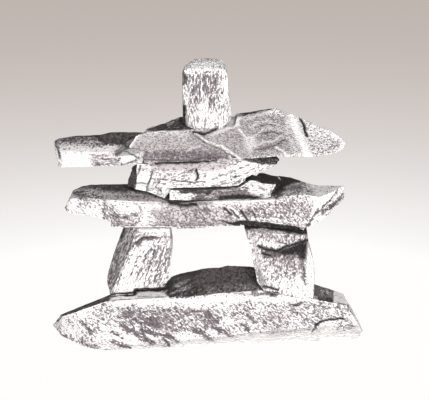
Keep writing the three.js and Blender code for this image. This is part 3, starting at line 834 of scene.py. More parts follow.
@dataclass(frozen=True)
class Relief:
    """How a stone is broken and worn. Sizes and depths in millimetres."""

    wear: int = 3
    wave: float = 0.5
    wave_size: float = 30.0
    scoop: float = 0.8
    scoop_size: float = 14.0
    facet: float = 0.8
    facet_size: float = 7.5
    bed: float = 0.7
    bed_spacing: float = 4.5
    across: Triple = (0.0, 0.0, 1.0)
    flute: float = 0.6
    flute_size: float = 3.0
    flute_stretch: float = 3.5
    along: Triple = (1.0, 0.0, 0.0)
    grit: float = 0.45
    grit_size: float = 2.6

    # How steep a face is where it counts as a bed's face, and as one to rest on.
    BED_FACE = (0.6, 0.92)
    RESTING_FACE = (0.75, 0.95)
    RESTING_CALM = 0.7
    # Shares of a depth that are cut everywhere, more on broken faces, and more on edges.
    SCOOP_SHARES = (0.3, 0.7, 0.8)
    FACET_SHARES = (0.25, 0.75, 0.5)
    FINE_SHARES = (0.35, 0.65)
    # Weights of an even depth, of flat faces and of scoops in what a facet cuts away.
    CHIP_SHARES = (0.5, 0.3, 0.3)
    # What is added to the seed for each kind of breaking, and how far facets lie off the scoops.
    FACETS, WAVES, BEDS, FURROWS, GRIT = 10, 20, 30, 40, 50
    FACET_SHIFT = 2.0

    def apply(self, surface: Surface, seed: int) -> None:
        """Breaks and wears the surface: edges, broad waves, flakes, beds, furrows and grit, cut inwards.

        Beds show only on faces that cross them. Flat bed faces stay smoother than broken ones, and faces
        that look down, on which a stone rests, smoother still.
        """
        surface.unfold()
        surface.wear(self.wear)
        points = surface.points
        normal = np.array(self.across) / np.linalg.norm(self.across)
        broken = 1.0 - ramp(np.abs(surface.normals @ normal), *self.BED_FACE)
        rest = 1.0 - self.RESTING_CALM * ramp(-surface.normals[:, 2], *self.RESTING_FACE)
        edge = surface.paint[Paint.RIM]
        scoops, _ = strikes(points, self.scoop_size, seed)
        small_scoops, faces = strikes(points + self.FACET_SHIFT, self.facet_size, seed + self.FACETS)
        chips = weighted(self.CHIP_SHARES, (1.0, faces, small_scoops))
        depth = self.wave * (0.5 + 0.5 * swell(points, self.wave_size, seed + self.WAVES))
        depth += self.scoop * weighted(self.SCOOP_SHARES, (1.0, broken, edge)) * scoops
        depth += self.facet * weighted(self.FACET_SHARES, (1.0, broken, edge)) * chips
        depth += self.bed * broken * beds(points, self.across, self.bed_spacing, seed + self.BEDS)
        surface.sink(rest * depth)
        surface.wear(1)
        furrows = flutes(surface.points, self.along, self.flute_size, self.flute_stretch, seed + self.FURROWS)
        grit = 0.5 + 0.5 * rough(surface.points, self.grit_size, seed + self.GRIT)
        fine = weighted(self.FINE_SHARES, (1.0, broken))
        surface.sink(rest * fine * (self.flute * furrows + self.grit * grit))
        surface.unfold()


class Stroke:
    """A mark along a path of the photograph's pixels: its width in pixels, its depth in millimetres."""

    def __init__(self, width: float, *path: Pixel, depth: float = 0.0, **paints: float) -> None:
        """Keeps the mark, with how much it has of each paint under the paint's name in small letters."""
        self.width = width
        self.path = path
        self.depth = depth
        self.paints = {Paint[name.upper()]: amount for name, amount in paints.items()}

    def share(self, surface: Surface) -> Array:
        """How much of the mark each point gets."""
        return surface.near(self.path, self.width)

    def draw(self, surface: Surface) -> None:
        """Lays the paints on the surface and lowers it by the depth."""
        share = self.share(surface)
        for kind, amount in self.paints.items():
            surface.mark(kind, amount * share)
        if self.depth:
            surface.sink(self.depth * share)


class Patch(Stroke):
    """A mark inside a closed path, whose width is that of its soft edge."""

    def share(self, surface: Surface) -> Array:
        """How much of the mark each point gets."""
        return surface.within(self.path, self.width)


Marks = tuple[Stroke, ...]


@dataclass
class Stone:
    """One stone of the figure. Spacing is the distance between its points in X, Y and Z.

    Its skin amount says how dark its bed faces are painted, weathering and painted shade of the tops in one;
    the two fields after it say from which slope on, and how softly the dark ends at an edge. The marks are
    what the photograph shows on it, place by place, painted shade and painted light among them.
    """

    node: str = ""
    lie: Lie = Lie.LEVEL
    spacing: Triple = (0.9, 1.0, 0.9)
    seed: int = 1
    relief: Relief = Relief()
    finish: Finish = Finish()
    skin: float = 1.0
    skin_up: tuple[float, float] = (0.5, 0.8)
    skin_blur: int = 6
    marks: Marks = ()

    SKIN_SHAKE, SKIN_SHAKE_SIZE = 0.12, 6.0
    CLUMP_SIZE, CLUMP_EDGE, CLUMP_STAIN, CLUMP_BARE = 17.0, 0.9, 0.6, 0.8
    # Rounds of evening out and heights of the crests and furrows that are picked out.
    FURROW_SCALES = ((2, 0.16), (10, 0.5))
    # What is added to the seed.
    CLUMPS, SKIN_EDGE = 60, 70

    @property
    def seeds(self) -> int:
        """The first of this stone's own seeds."""
        return self.seed * 100

    def weather(self, surface: Surface) -> None:
        """Grows the dark skin on what faces up, weathering and painted shade of the tops in one, stains
        unseen sides here and there, picks out furrows for painted shade.
        """
        # Dark paint on faces that look up: weathering, and painted shade of the tops, in one.
        level = surface.even(surface.normals[:, 2], self.skin_blur)
        level += self.SKIN_SHAKE * rough(surface.points, self.SKIN_SHAKE_SIZE, self.seeds + self.SKIN_EDGE)
        surface.mark(Paint.SKIN, self.skin * ramp(level, *self.skin_up))
        clumps = rough(surface.points, self.CLUMP_SIZE, self.seeds + self.CLUMPS)
        hidden = 1.0 - surface.seen
        surface.mark(Paint.STAIN, self.CLUMP_STAIN * ramp(clumps, 0.0, self.CLUMP_EDGE) * hidden)
        surface.mark(Paint.BARE, self.CLUMP_BARE * ramp(-clumps, 0.0, self.CLUMP_EDGE) * hidden)
        for rounds, reach in self.FURROW_SCALES:
            surface.weather(rounds, reach)

    def build(self, view: Viewpoint) -> None:
        """Makes the stone's piece, dresses it and lets it stand for its node."""
        scale = 1.0
        surface = Solid(self.node).wrap(self.lie, [scale * step for step in self.spacing], view)
        self.relief.apply(surface, self.seeds)
        surface.look()
        for mark in self.marks:
            mark.draw(surface)
        self.weather(surface)
        piece = surface.to_object(f"{self.node}_surface")
        piece.data.materials.append(self.finish.material(f"{self.node}_finish"))
        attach(piece, "root")
        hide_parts(self.node)
        LOG.info("%s: %d quads", piece.name, len(surface.quads))


@dataclass
class BaseStone(Stone):
    """The long boulder that carries the figure: pale in front, with slanting dark patches on the left."""

    node: str = "base_stone"
    spacing: Triple = (0.98, 1.5, 0.95)
    seed: int = 1
    relief: Relief = Relief(along=(0.84, 0.0, -0.54), bed=0.3, flute=0.4, wear=2, wave=0.2, scoop=0.5)
    finish: Finish = Finish(grain=(2.3, 1.25, 1.1), turn=(0.0, 33.0, 0.0), specks=0.31, flecks=0.09)
    skin_blur: int = 2
    DARK_CLUSTERS = (
        Patch(9, (117, 306), (190, 306), (228, 312), (212, 330), (160, 334), (118, 322), stain=0.42),
        Patch(4, (117, 309), (129, 307), (136, 313), (127, 320), (118, 316), stain=0.7),
        Patch(4, (138, 319), (152, 316), (163, 325), (160, 329), (150, 328), stain=0.85),
        Stroke(3.0, (121, 326), (136, 334), (152, 343), stain=1.0),
        Stroke(2.2, (142, 330), (153, 333), (165, 336), stain=1.0),
        Stroke(2.6, (168, 335), (174, 339), (183, 346), stain=1.0),
        Stroke(2.0, (164, 339), (170, 346), stain=1.0),
        Stroke(3.4, (194, 330), (204, 335), (215, 343), stain=1.0),
        Stroke(2.4, (113, 342), (122, 345), (131, 348), stain=1.0),
        Stroke(1.8, (112, 332), (123, 338), stain=1.0),
        Stroke(2.2, (185, 314), (199, 311), stain=1.0),
        Stroke(2.6, (206, 314), (216, 322), stain=1.0),
        Stroke(2.0, (213, 327), (221, 331), stain=1.0),
        Stroke(2.2, (223, 331), (240, 340), stain=0.8),
        Stroke(2.2, (242, 325), (252, 335), stain=0.8),
        Stroke(1.8, (247, 315), (255, 322), stain=0.8),
        Stroke(2.6, (82, 322), (91, 333), stain=0.9),
        Stroke(2.8, (69, 320), (76, 327), stain=0.4),
        Stroke(2.2, (59, 334), (78, 341), (98, 348), stain=0.6),
    )
    FRONT_TONES = (
        Patch(7, (60, 318), (84, 314), (84, 334), (62, 334), bare=0.35),
        Patch(9, (70, 318), (112, 304), (118, 326), (100, 346), (70, 334), stain=0.2),
        Patch(8, (100, 326), (120, 326), (150, 348), (250, 344), (250, 350), (100, 352), bare=0.3),
        Patch(12, (228, 300), (345, 300), (352, 336), (232, 340), stain=0.22),
        Patch(8, (262, 312), (287, 312), (290, 338), (272, 341), (264, 328), film=0.5),
        Stroke(3.6, (112, 302), (150, 301), (200, 300), (250, 299), (316, 299), bare=0.6),
    )
    # Painted shadow in the gap under the left foot, and painted light that whitens the dim step of the top in
    # front of it.
    STEP_UNDER_LEFT_FOOT = (
        Patch(1.5, (110, 296), (136, 296), (138, 291), (166, 290), (166, 297), (110, 300), bare=1.0),
        Patch(3, (110, 297), (136, 296), (138, 291), (160, 290), (168, 297), (110, 300), vein=1.3),
        Patch(3, (138, 291), (162, 290), (172, 297), (138, 298), stain=0.8),
        Patch(5, (158, 290), (172, 288), (184, 290), (192, 297), (160, 298), film=0.5),
        Stroke(0.8, (139, 297), (165, 297), shade=0.5),
        Stroke(1.6, (110, 294), (133, 294), (136, 290), (164, 290), shade=1.3),
    )
    TOP_SLOPE = (
        Patch(4, (333, 291), (350, 293), (350, 304), (334, 303), bare=0.9),
        Patch(4, (316, 284), (332, 286), (342, 297), (318, 297), bare=0.35),
        Patch(6, (172, 276), (190, 272), (192, 290), (172, 294), bare=0.35),
        Patch(8, (164, 291), (176, 286), (188, 289), (198, 297), (164, 299), film=0.4),
        Patch(6, (158, 290), (176, 286), (190, 290), (200, 297), (158, 299), stain=0.7),
        Stroke(1.0, (166, 293), (180, 287), (192, 281), shade=0.7, depth=0.4),
        Stroke(1.0, (170, 297), (184, 291), (198, 286), shade=0.7, depth=0.4),
        Stroke(0.9, (188, 297), (200, 291), shade=0.6, depth=0.4),
        Patch(9, (205, 286), (230, 282), (262, 284), (262, 296), (205, 297), film=0.3),
        Patch(3, (163, 290), (168, 280), (182, 271), (206, 266), (194, 277), (176, 284), shade=0.6),
    )
    # Painted light on the lower bevel, which faces down and gets little light, and painted shadow lines where
    # the stone meets the floor.
    LOWER_BEVEL = (
        Stroke(8.0, (180, 348), (252, 343), (290, 341), (330, 338), (352, 336), bare=1.2),
        Patch(6, (176, 347), (250, 336), (352, 331), (364, 341), (300, 352), (176, 356), vein=0.8),
        Patch(5, (300, 328), (345, 328), (346, 339), (300, 341), stain=0.3),
        Stroke(0.7, (250, 346), (275, 346), (290, 345), (311, 342), shade=0.5),
        Stroke(0.9, (311, 341), (330, 342), (357, 341), shade=0.9),
        Stroke(0.9, (98, 350), (111, 350), shade=0.7),
    )
    RIGHT_SCAR = (
        Stroke(1.3, (316, 325), (323, 321), (333, 319), (343, 319), shade=0.95, depth=1.6),
        Stroke(1.6, (316, 325), (312, 332), stain=0.9),
        Patch(4, (318, 326), (330, 322), (338, 325), (334, 338), (320, 338), bare=1.0, depth=0.5),
        Patch(4, (333, 323), (352, 322), (356, 334), (336, 337), stain=0.45),
        Stroke(2.2, (354, 318), (361, 332), (360, 341), bare=1.0),
        Patch(5, (318, 300), (338, 300), (346, 312), (332, 318), (316, 320), stain=0.4),
    )
    marks: Marks = DARK_CLUSTERS + FRONT_TONES + STEP_UNDER_LEFT_FOOT + TOP_SLOPE + LOWER_BEVEL + RIGHT_SCAR


@dataclass
class LeftLeg(Stone):
    """The upright block whose broad left face turns towards the viewer."""

    node: str = "left_leg_stone"
    lie: Lie = Lie.UPRIGHT
    spacing: Triple = (0.8, 1.0, 0.8)
    seed: int = 2
    relief: Relief = Relief(bed=0.3, across=(0.8, 0.2, -0.5), along=(0.45, 0.0, 0.9), flute=0.8)
    finish: Finish = Finish(grain=(3.2, 1.5, 1.3), turn=(0.0, -62.0, 0.0), specks=0.34, flecks=0.1)
    skin: float = 0.4
    SHADED_FACE = (
        Patch(4, (122, 228), (139, 228), (134, 248), (122, 270), (112, 293), (105, 280), stain=0.38,
              film=0.3),
        Stroke(2.4, (124, 229), (121, 236), shade=1.0),
    )
    FRONT = (
        Patch(9, (154, 238), (172, 234), (170, 276), (160, 290), (144, 286), (148, 262), stain=0.28),
        Patch(4, (138, 230), (156, 230), (150, 238), (138, 244), film=0.35),
        Stroke(1.0, (137, 242), (142, 238), (155, 237), shade=0.5, depth=0.9),
        Stroke(2.0, (136, 243), (142, 239), (158, 238), stain=1.0),
        Stroke(1.4, (169, 228), (173, 240), (173, 252), film=0.9),
        Patch(4, (137, 246), (150, 244), (142, 262), (134, 280), (118, 291), (122, 276), bare=0.3),
        # Painted light along the top edge, over the shadow of the joint under the hip.
        Stroke(1.6, (140, 229), (156, 230), (172, 229), vein=2.0, depth=-0.2),
    )
    FURROWS = (
        Stroke(0.8, (139, 256), (131, 276), stain=0.8, depth=0.4),
        Stroke(0.8, (148, 250), (141, 270), (133, 284), stain=0.6, depth=0.4),
        Stroke(0.8, (156, 246), (150, 266), (144, 284), stain=0.6, depth=0.4),
        Stroke(0.8, (164, 248), (158, 268), (154, 284), stain=0.6, depth=0.4),
    )
    FOOT = (
        Stroke(1.1, (110, 294), (133, 293), (135, 289), (164, 288), shade=1.2),
    )
    marks: Marks = SHADED_FACE + FRONT + FURROWS + FOOT


@dataclass
class RightLeg(Stone):
    """The upright block with a broken shoulder under its top."""

    node: str = "right_leg_stone"
    lie: Lie = Lie.UPRIGHT
    spacing: Triple = (0.8, 1.0, 0.8)
    seed: int = 3
    relief: Relief = Relief(bed=0.25, across=(0.8, 0.2, 0.5), along=(-0.2, 0.0, 1.0), flute=0.55)
    finish: Finish = Finish(grain=(2.2, 1.4, 1.3), turn=(0.0, -80.0, 0.0), specks=0.34, flecks=0.08)
    skin: float = 0.5
    # Painted shadow of the hip's edge across the top, and painted shade that greys the top under it, with
    # stain.
    TOP_BAND = (
        Patch(1.5, (236, 220), (262, 219), (308, 224), (308, 234), (299, 234), (280, 231), (262, 228),
              (236, 230), shade=0.85),
        Patch(4, (244, 228), (290, 234), (284, 240), (256, 239), film=0.55),
        Patch(5, (244, 228), (300, 234), (296, 243), (256, 241), stain=0.3),
    )
    # Painted shade in the crease and on the ledge under it, which faces up, fading to grey further down, with
    # stain.
    BROKEN_SHOULDER = (
        Stroke(1.8, (259, 246), (265, 249), (277, 251), (287, 246), (298, 243), (308, 240), shade=1.0),
        Patch(6, (276, 251), (287, 247), (308, 240), (306, 262), (298, 256), (284, 256), shade=0.9),
        Patch(8, (262, 254), (276, 252), (300, 256), (302, 268), (276, 266), film=0.6),
        Stroke(1.1, (262, 253), (270, 255), shade=0.9, depth=0.7),
        Patch(4, (257, 245), (266, 246), (284, 252), (280, 259), (264, 258), stain=0.8),
        Stroke(1.0, (278, 242), (286, 244), shade=0.7, depth=0.5),
    )
    FRONT = (
        Stroke(1.2, (302, 243), (303, 262), (306, 276), shade=0.6, depth=1.2),
        Stroke(2.4, (301, 246), (301, 262), (305, 284), stain=0.8),
        Patch(9, (260, 255), (299, 256), (296, 286), (268, 280), stain=0.32),
        Patch(3, (306, 240), (318, 240), (318, 300), (308, 299), bare=0.6),
        Patch(7, (280, 280), (306, 274), (318, 300), (284, 296), bare=0.35),
        Stroke(2.4, (253, 236), (258, 262), (262, 284), film=0.9),
    )
    FOOT = (
        Stroke(1.1, (263, 287), (270, 288), (278, 290), shade=0.9, depth=0.8),
        Stroke(1.1, (262, 291), (278, 293), shade=0.9, depth=0.6),
    )
    marks: Marks = TOP_BAND + BROKEN_SHOULDER + FRONT + FOOT


@dataclass
class HipSlab(Stone):
    """The long slab across the legs: dark on top, weathered and in painted shade, and with a dark broken edge
    on the right.
    """

    node: str = "hip_slab"
    seed: int = 4
    relief: Relief = Relief(along=(0.5, 0.0, -0.85), flute=0.5, bed=0.5, scoop=1.1)
    finish: Finish = Finish(grain=(2.0, 1.4, 1.25), turn=(0.0, 40.0, 0.0), specks=0.42, flecks=0.08)
    # The dark top, weathered and in painted shade, turning grey and paler towards its front edge.
    LEFT_TOP = (
        Patch(6, (98, 182), (138, 182), (142, 189), (122, 193), (100, 190), shade=0.4),
        Patch(5, (84, 189), (132, 189), (136, 196), (86, 197), bare=0.3),
        Stroke(5.0, (66, 195), (84, 196), (104, 197), (128, 199), (150, 203), film=0.6),
        Stroke(3.5, (66, 199), (84, 200), (104, 201), (128, 202), (150, 206), bare=0.55),
        Patch(6, (72, 190), (100, 190), (104, 200), (74, 201), stain=0.5),
        Patch(6, (68, 188), (102, 188), (102, 196), (70, 197), film=0.5),
        Patch(8, (130, 192), (150, 193), (168, 202), (172, 206), (150, 206), (124, 200), film=0.8),
    )
    LEFT_FRONT = (
        Patch(4, (66, 206), (72, 196), (80, 197), (76, 216), bare=1.0),
        Patch(5, (88, 202), (102, 201), (102, 220), (72, 220), (68, 212), bare=0.65),
        Patch(5, (74, 202), (90, 202), (84, 214), (74, 212), stain=0.3),
        Stroke(1.6, (104, 201), (103, 210), (104, 219), stain=0.5, depth=0.6),
        Patch(5, (103, 214), (140, 212), (144, 226), (112, 228), (104, 220), stain=0.25),
        Patch(4, (104, 214), (140, 213), (140, 228), (112, 229), film=0.45),
        Patch(4, (112, 201), (138, 200), (138, 212), (116, 214), bare=0.5),
        # Painted light along the bottom edge, over the shadow of the joint with the left leg.
        Stroke(1.3, (139, 228), (156, 229), (172, 228), vein=1.5),
        Stroke(1.2, (119, 218), (128, 217), (142, 213), shade=0.3, depth=0.5),
        Stroke(1.8, (144, 210), (146, 222), (136, 227), bare=0.9),
    )
    MIDDLE = (
        Stroke(3.4, (157, 206), (158, 207), vein=0.9),
        Patch(8, (150, 206), (172, 205), (226, 206), (240, 220), (224, 226), (160, 230), film=0.75,
              stain=0.2),
        Patch(2, (199, 209), (207, 208), (214, 211), (207, 213), shade=0.5),
    )
    SLANTING_CRACKS = (
        Stroke(1.2, (224, 208), (232, 215), shade=0.7, depth=0.8),
        Stroke(1.2, (231, 210), (239, 218), shade=0.8, depth=0.9),
        Stroke(1.2, (241, 211), (247, 220), shade=0.8, depth=0.9),
        Stroke(1.0, (252, 211), (256, 218), shade=0.6, depth=0.6),
        Stroke(1.0, (263, 210), (266, 217), shade=0.5, depth=0.5),
    )
    DARK_LOWER_EDGE = (
        Patch(8, (236, 206), (306, 204), (310, 222), (262, 219), (240, 216), film=0.3),
        Patch(1.5, (221, 220), (232, 222), (241, 220), (255, 221), (268, 222), (285, 225), (298, 227),
              (306, 232), (306, 237), (262, 234), (240, 229), shade=0.9),
    )
    HUMP = (
        Patch(6, (270, 172), (286, 173), (288, 188), (282, 196), (268, 194), shade=0.6),
        Patch(6, (244, 181), (256, 167), (264, 168), (298, 175), (303, 181), (291, 184), (284, 188),
              (277, 192), (268, 188), shade=1.0),
    )
    # Painted light and painted shade on the right of the top, paled and greyed so that it runs into the front
    # without an edge, with stain.
    RIGHT_TOP = (
        Patch(9, (278, 192), (288, 184), (300, 181), (312, 182), (316, 192), (300, 202), (276, 200),
              film=0.35),
        Patch(8, (308, 181), (348, 180), (346, 196), (318, 198), (312, 190), vein=0.9),
        Patch(8, (310, 181), (348, 180), (346, 192), (318, 194), bare=0.8),
        Patch(8, (300, 181), (348, 180), (344, 194), (306, 194), stain=0.9),
        Patch(7, (278, 192), (288, 184), (300, 182), (332, 182), (326, 198), (300, 204), (276, 204),
              bare=0.75),
        Patch(8, (278, 188), (300, 180), (322, 184), (316, 196), (296, 208), (274, 206), stain=0.75),
        Patch(9, (272, 194), (318, 189), (314, 204), (292, 212), (262, 210), film=0.5),
        Stroke(3.4, (278, 192), (288, 189), (299, 187), shade=0.6),
        Patch(8, (232, 206), (312, 203), (308, 222), (262, 219), (240, 214), stain=0.3),
    )
    END_FACET = (
        Patch(4, (318, 189), (347, 187), (342, 204), (310, 228), (308, 222), bare=0.5),
        Stroke(1.4, (308, 226), (313, 218), (318, 209), stain=1.2, depth=0.5),
        Stroke(2.6, (322, 213), (333, 205), (347, 193), stain=1.2, depth=0.5),
        Stroke(1.2, (323, 207), (330, 200), (338, 193), stain=1.2, depth=0.5),
        Stroke(0.9, (338, 190), (333, 197), (328, 204), (318, 212), shade=0.5, depth=0.5),
        Stroke(1.0, (345, 190), (340, 200), (330, 209), shade=0.5, depth=0.4),
        Stroke(3.0, (318, 188), (346, 188), bare=0.9),
    )
    # Painted shadow under the lower waist stone, and painted light on the strip of the top in front of it,
    # which the lamps leave dim.
    UNDER_WAIST = (
        Stroke(2.4, (170, 203), (182, 205), (196, 204), shade=1.0),
        Stroke(1.8, (196, 204), (212, 203), shade=0.5),
        Stroke(3.0, (205, 204), (234, 203), (270, 201), film=0.7),
        Stroke(2.4, (208, 203), (234, 202), (272, 200), bare=0.9),
    )
    marks: Marks = (
        LEFT_TOP + LEFT_FRONT + MIDDLE + SLANTING_CRACKS + DARK_LOWER_EDGE
        + HUMP + RIGHT_TOP + END_FACET + UNDER_WAIST
    )


@dataclass
class LowerWaist(Stone):
    """The thin slab on the hip: a pale lens on the left, a bright step on the right, painted shade in
    between.
    """

    node: str = "lower_waist_stone"
    spacing: Triple = (0.8, 1.0, 0.8)
    seed: int = 5
    finish: Finish = Finish(grain=(2.6, 1.4, 1.2), specks=0.34, flecks=0.07)
    skin: float = 0.8
    BRIGHT_STEP = (
        Patch(2.5, (246, 184), (257, 181), (262, 184), (277, 185), (276, 190), (270, 199), (262, 199),
              (252, 192), bare=0.25),
        Patch(4, (252, 184), (276, 187), (270, 198), (256, 194), stain=0.3),
        Stroke(1.2, (262, 180), (270, 182), (277, 183), bare=1.0),
    )
    # Painted shade under the slit: grey above, darkest near the bottom, with stain.
    DARK_MIDDLE = (
        Patch(4, (200, 193), (238, 188), (250, 191), (266, 198), (266, 205), (186, 205), (192, 198),
              film=0.75),
        Stroke(3.8, (222, 200), (240, 198), (258, 200), shade=1.8),
        Stroke(3.2, (192, 202), (216, 201), (264, 202), shade=0.8),
        Patch(5, (206, 190), (246, 189), (250, 194), (226, 197), (204, 197), stain=0.6),
        Patch(1.5, (178, 190), (214, 190), (212, 194), (196, 193), (180, 194), shade=0.7, depth=0.8),
    )
    # The pale lens, with painted light at its left end over the shadow of the gap, and a painted shadow line
    # under it.
    PALE_LENS = (
        Patch(3, (164, 191), (178, 195), (190, 194), (195, 197), (188, 201), (164, 204), vein=2.2),
        Patch(4, (180, 192), (206, 192), (208, 200), (184, 201), stain=0.6),
        Stroke(1.2, (178, 201), (186, 202), (194, 201), shade=0.6),
        Stroke(0.8, (172, 193), (176, 197), (173, 202), stain=0.9, depth=0.4),
    )
    RIGHT_END = (
        Patch(1.5, (243, 181), (256, 168), (292, 170), (290, 187), (277, 184), (262, 183), (257, 180),
              shade=1.3),
        Patch(3, (278, 180), (290, 174), (292, 202), (270, 205), (271, 197), (277, 189), shade=1.0),
    )
    marks: Marks = BRIGHT_STEP + DARK_MIDDLE + PALE_LENS + RIGHT_END


@dataclass
class UpperWaist(Stone):
    """The broad pale stone under the shoulders, with a dark coarse left end, stained and in painted shade."""

    node: str = "upper_waist_stone"
    spacing: Triple = (0.8, 1.0, 0.8)
    seed: int = 6
    relief: Relief = Relief(along=(1.0, 0.0, 0.12), flute=0.5, flute_stretch=5.0, bed=0.9, bed_spacing=5.5)
    finish: Finish = Finish(grain=(2.6, 1.3, 1.1), turn=(0.0, -8.0, 0.0), specks=0.33, flecks=0.04)
    UPPER_EDGE = (
        Patch(2.5, (150, 163), (230, 161), (226, 170), (196, 171), (152, 171), film=0.9),
        Stroke(1.8, (156, 163), (190, 162), (216, 160), shade=1.1),
    )
    # The coarse left end, a side in shade: stain and grey film with painted shade.
    DARK_BUMP = (
        Patch(3, (123, 170), (134, 166), (137, 178), (134, 191), (124, 187), shade=0.35, stain=0.9,
              film=0.4),
    )
    CRACKS = (
        Stroke(0.9, (152, 172), (149, 181), (146, 193), shade=0.8, depth=0.8),
        Stroke(0.9, (140, 166), (137, 176), (133, 183), (147, 184), shade=0.6, depth=0.8),
        Stroke(0.8, (160, 180), (156, 186), (161, 191), shade=0.5, depth=0.6),
        Stroke(1.3, (196, 170), (198, 175), (196, 180), shade=1.0, depth=1.2),
        Stroke(0.9, (188, 172), (193, 169), shade=0.8, depth=0.6),
    )
    BED_LINES = (
        Stroke(0.9, (214, 179), (234, 171), (252, 163), stain=0.5, depth=0.4),
        Stroke(0.9, (220, 182), (242, 175), (258, 167), stain=0.4, depth=0.4),
        Stroke(0.8, (228, 185), (244, 180), stain=0.5, depth=0.3),
        Patch(6, (160, 172), (194, 172), (192, 182), (162, 181), stain=0.12),
        Stroke(0.8, (155, 179), (175, 181), (205, 183), stain=0.6, depth=0.5),
    )
    DARK_TIP = (
        Patch(3, (238, 158), (256, 154), (281, 158), (279, 164), (262, 165), (250, 162), shade=0.85),
        Stroke(0.9, (250, 165), (262, 162), (276, 161), vein=1.0),
        Stroke(0.8, (256, 158), (266, 157), (277, 160), vein=0.5),
    )
    BRIGHT_PLACES = (
        Patch(3, (136, 172), (150, 172), (146, 192), (136, 188), bare=0.5),
        Patch(5, (205, 168), (238, 164), (250, 166), (236, 184), (208, 184), bare=0.15),
        Stroke(2.6, (146, 198), (158, 198), (170, 202), bare=0.8),
        # Painted light over the shadow of the gap at the lower waist stone's left end.
        Stroke(2.6, (169, 191), (169, 202), vein=3.0),
    )
    marks: Marks = UPPER_EDGE + DARK_BUMP + CRACKS + BED_LINES + DARK_TIP + BRIGHT_PLACES


@dataclass
class LeftArm(Stone):
    """The slab that sticks out on the left: dark on top, pale in front, with a bright broken end."""

    node: str = "left_arm_stone"
    spacing: Triple = (0.8, 1.0, 0.8)
    seed: int = 7
    relief: Relief = Relief(along=(1.0, 0.1, 0.05), flute=0.5, flute_stretch=5.0, bed=0.6)
    finish: Finish = Finish(grain=(3.0, 1.3, 1.1), specks=0.42, flecks=0.09)
    TOP = (
        Patch(10, (54, 134), (88, 133), (100, 143), (58, 148), film=0.75),
        Patch(7, (88, 132), (140, 130), (130, 142), (98, 141), shade=0.1),
        Patch(6, (60, 134), (92, 131), (92, 140), (62, 143), stain=0.5),
        Patch(5, (58, 145), (134, 145), (128, 153), (58, 154), film=0.5),
        Stroke(4.0, (60, 150), (90, 150), (122, 149), bare=0.85),
        Patch(5, (60, 142), (134, 142), (130, 152), (60, 153), bare=0.3),
        Patch(4, (84, 143), (134, 143), (128, 150), (90, 149), stain=0.4),
    )
    FRONT = (
        Patch(12, (82, 152), (124, 152), (124, 171), (94, 172), film=0.5),
        Patch(12, (86, 153), (120, 153), (118, 171), (94, 172), stain=0.3),
        Patch(5, (56, 152), (86, 154), (94, 171), (58, 172), bare=1.0),
        Stroke(1.5, (58, 147), (60, 158), shade=0.8),
        Stroke(1.2, (118, 167), (128, 163), (136, 160), shade=0.6),
    )
    INNER_END = (
        Patch(2, (119, 154), (134, 151), (138, 158), (122, 166), bare=1.0),
        Stroke(0.9, (120, 155), (122, 166), stain=0.8, depth=0.5),
        Patch(1.5, (132, 136), (138, 141), (130, 148), (124, 151), (115, 157), (113, 152), shade=0.6),
        Patch(2, (120, 153), (127, 148), (137, 145), (147, 149), (143, 156), (120, 157), film=1.0,
              bare=0.9),
        Stroke(0.9, (124, 151), (128, 152), (138, 158), shade=0.7),
    )
    marks: Marks = TOP + FRONT + INNER_END


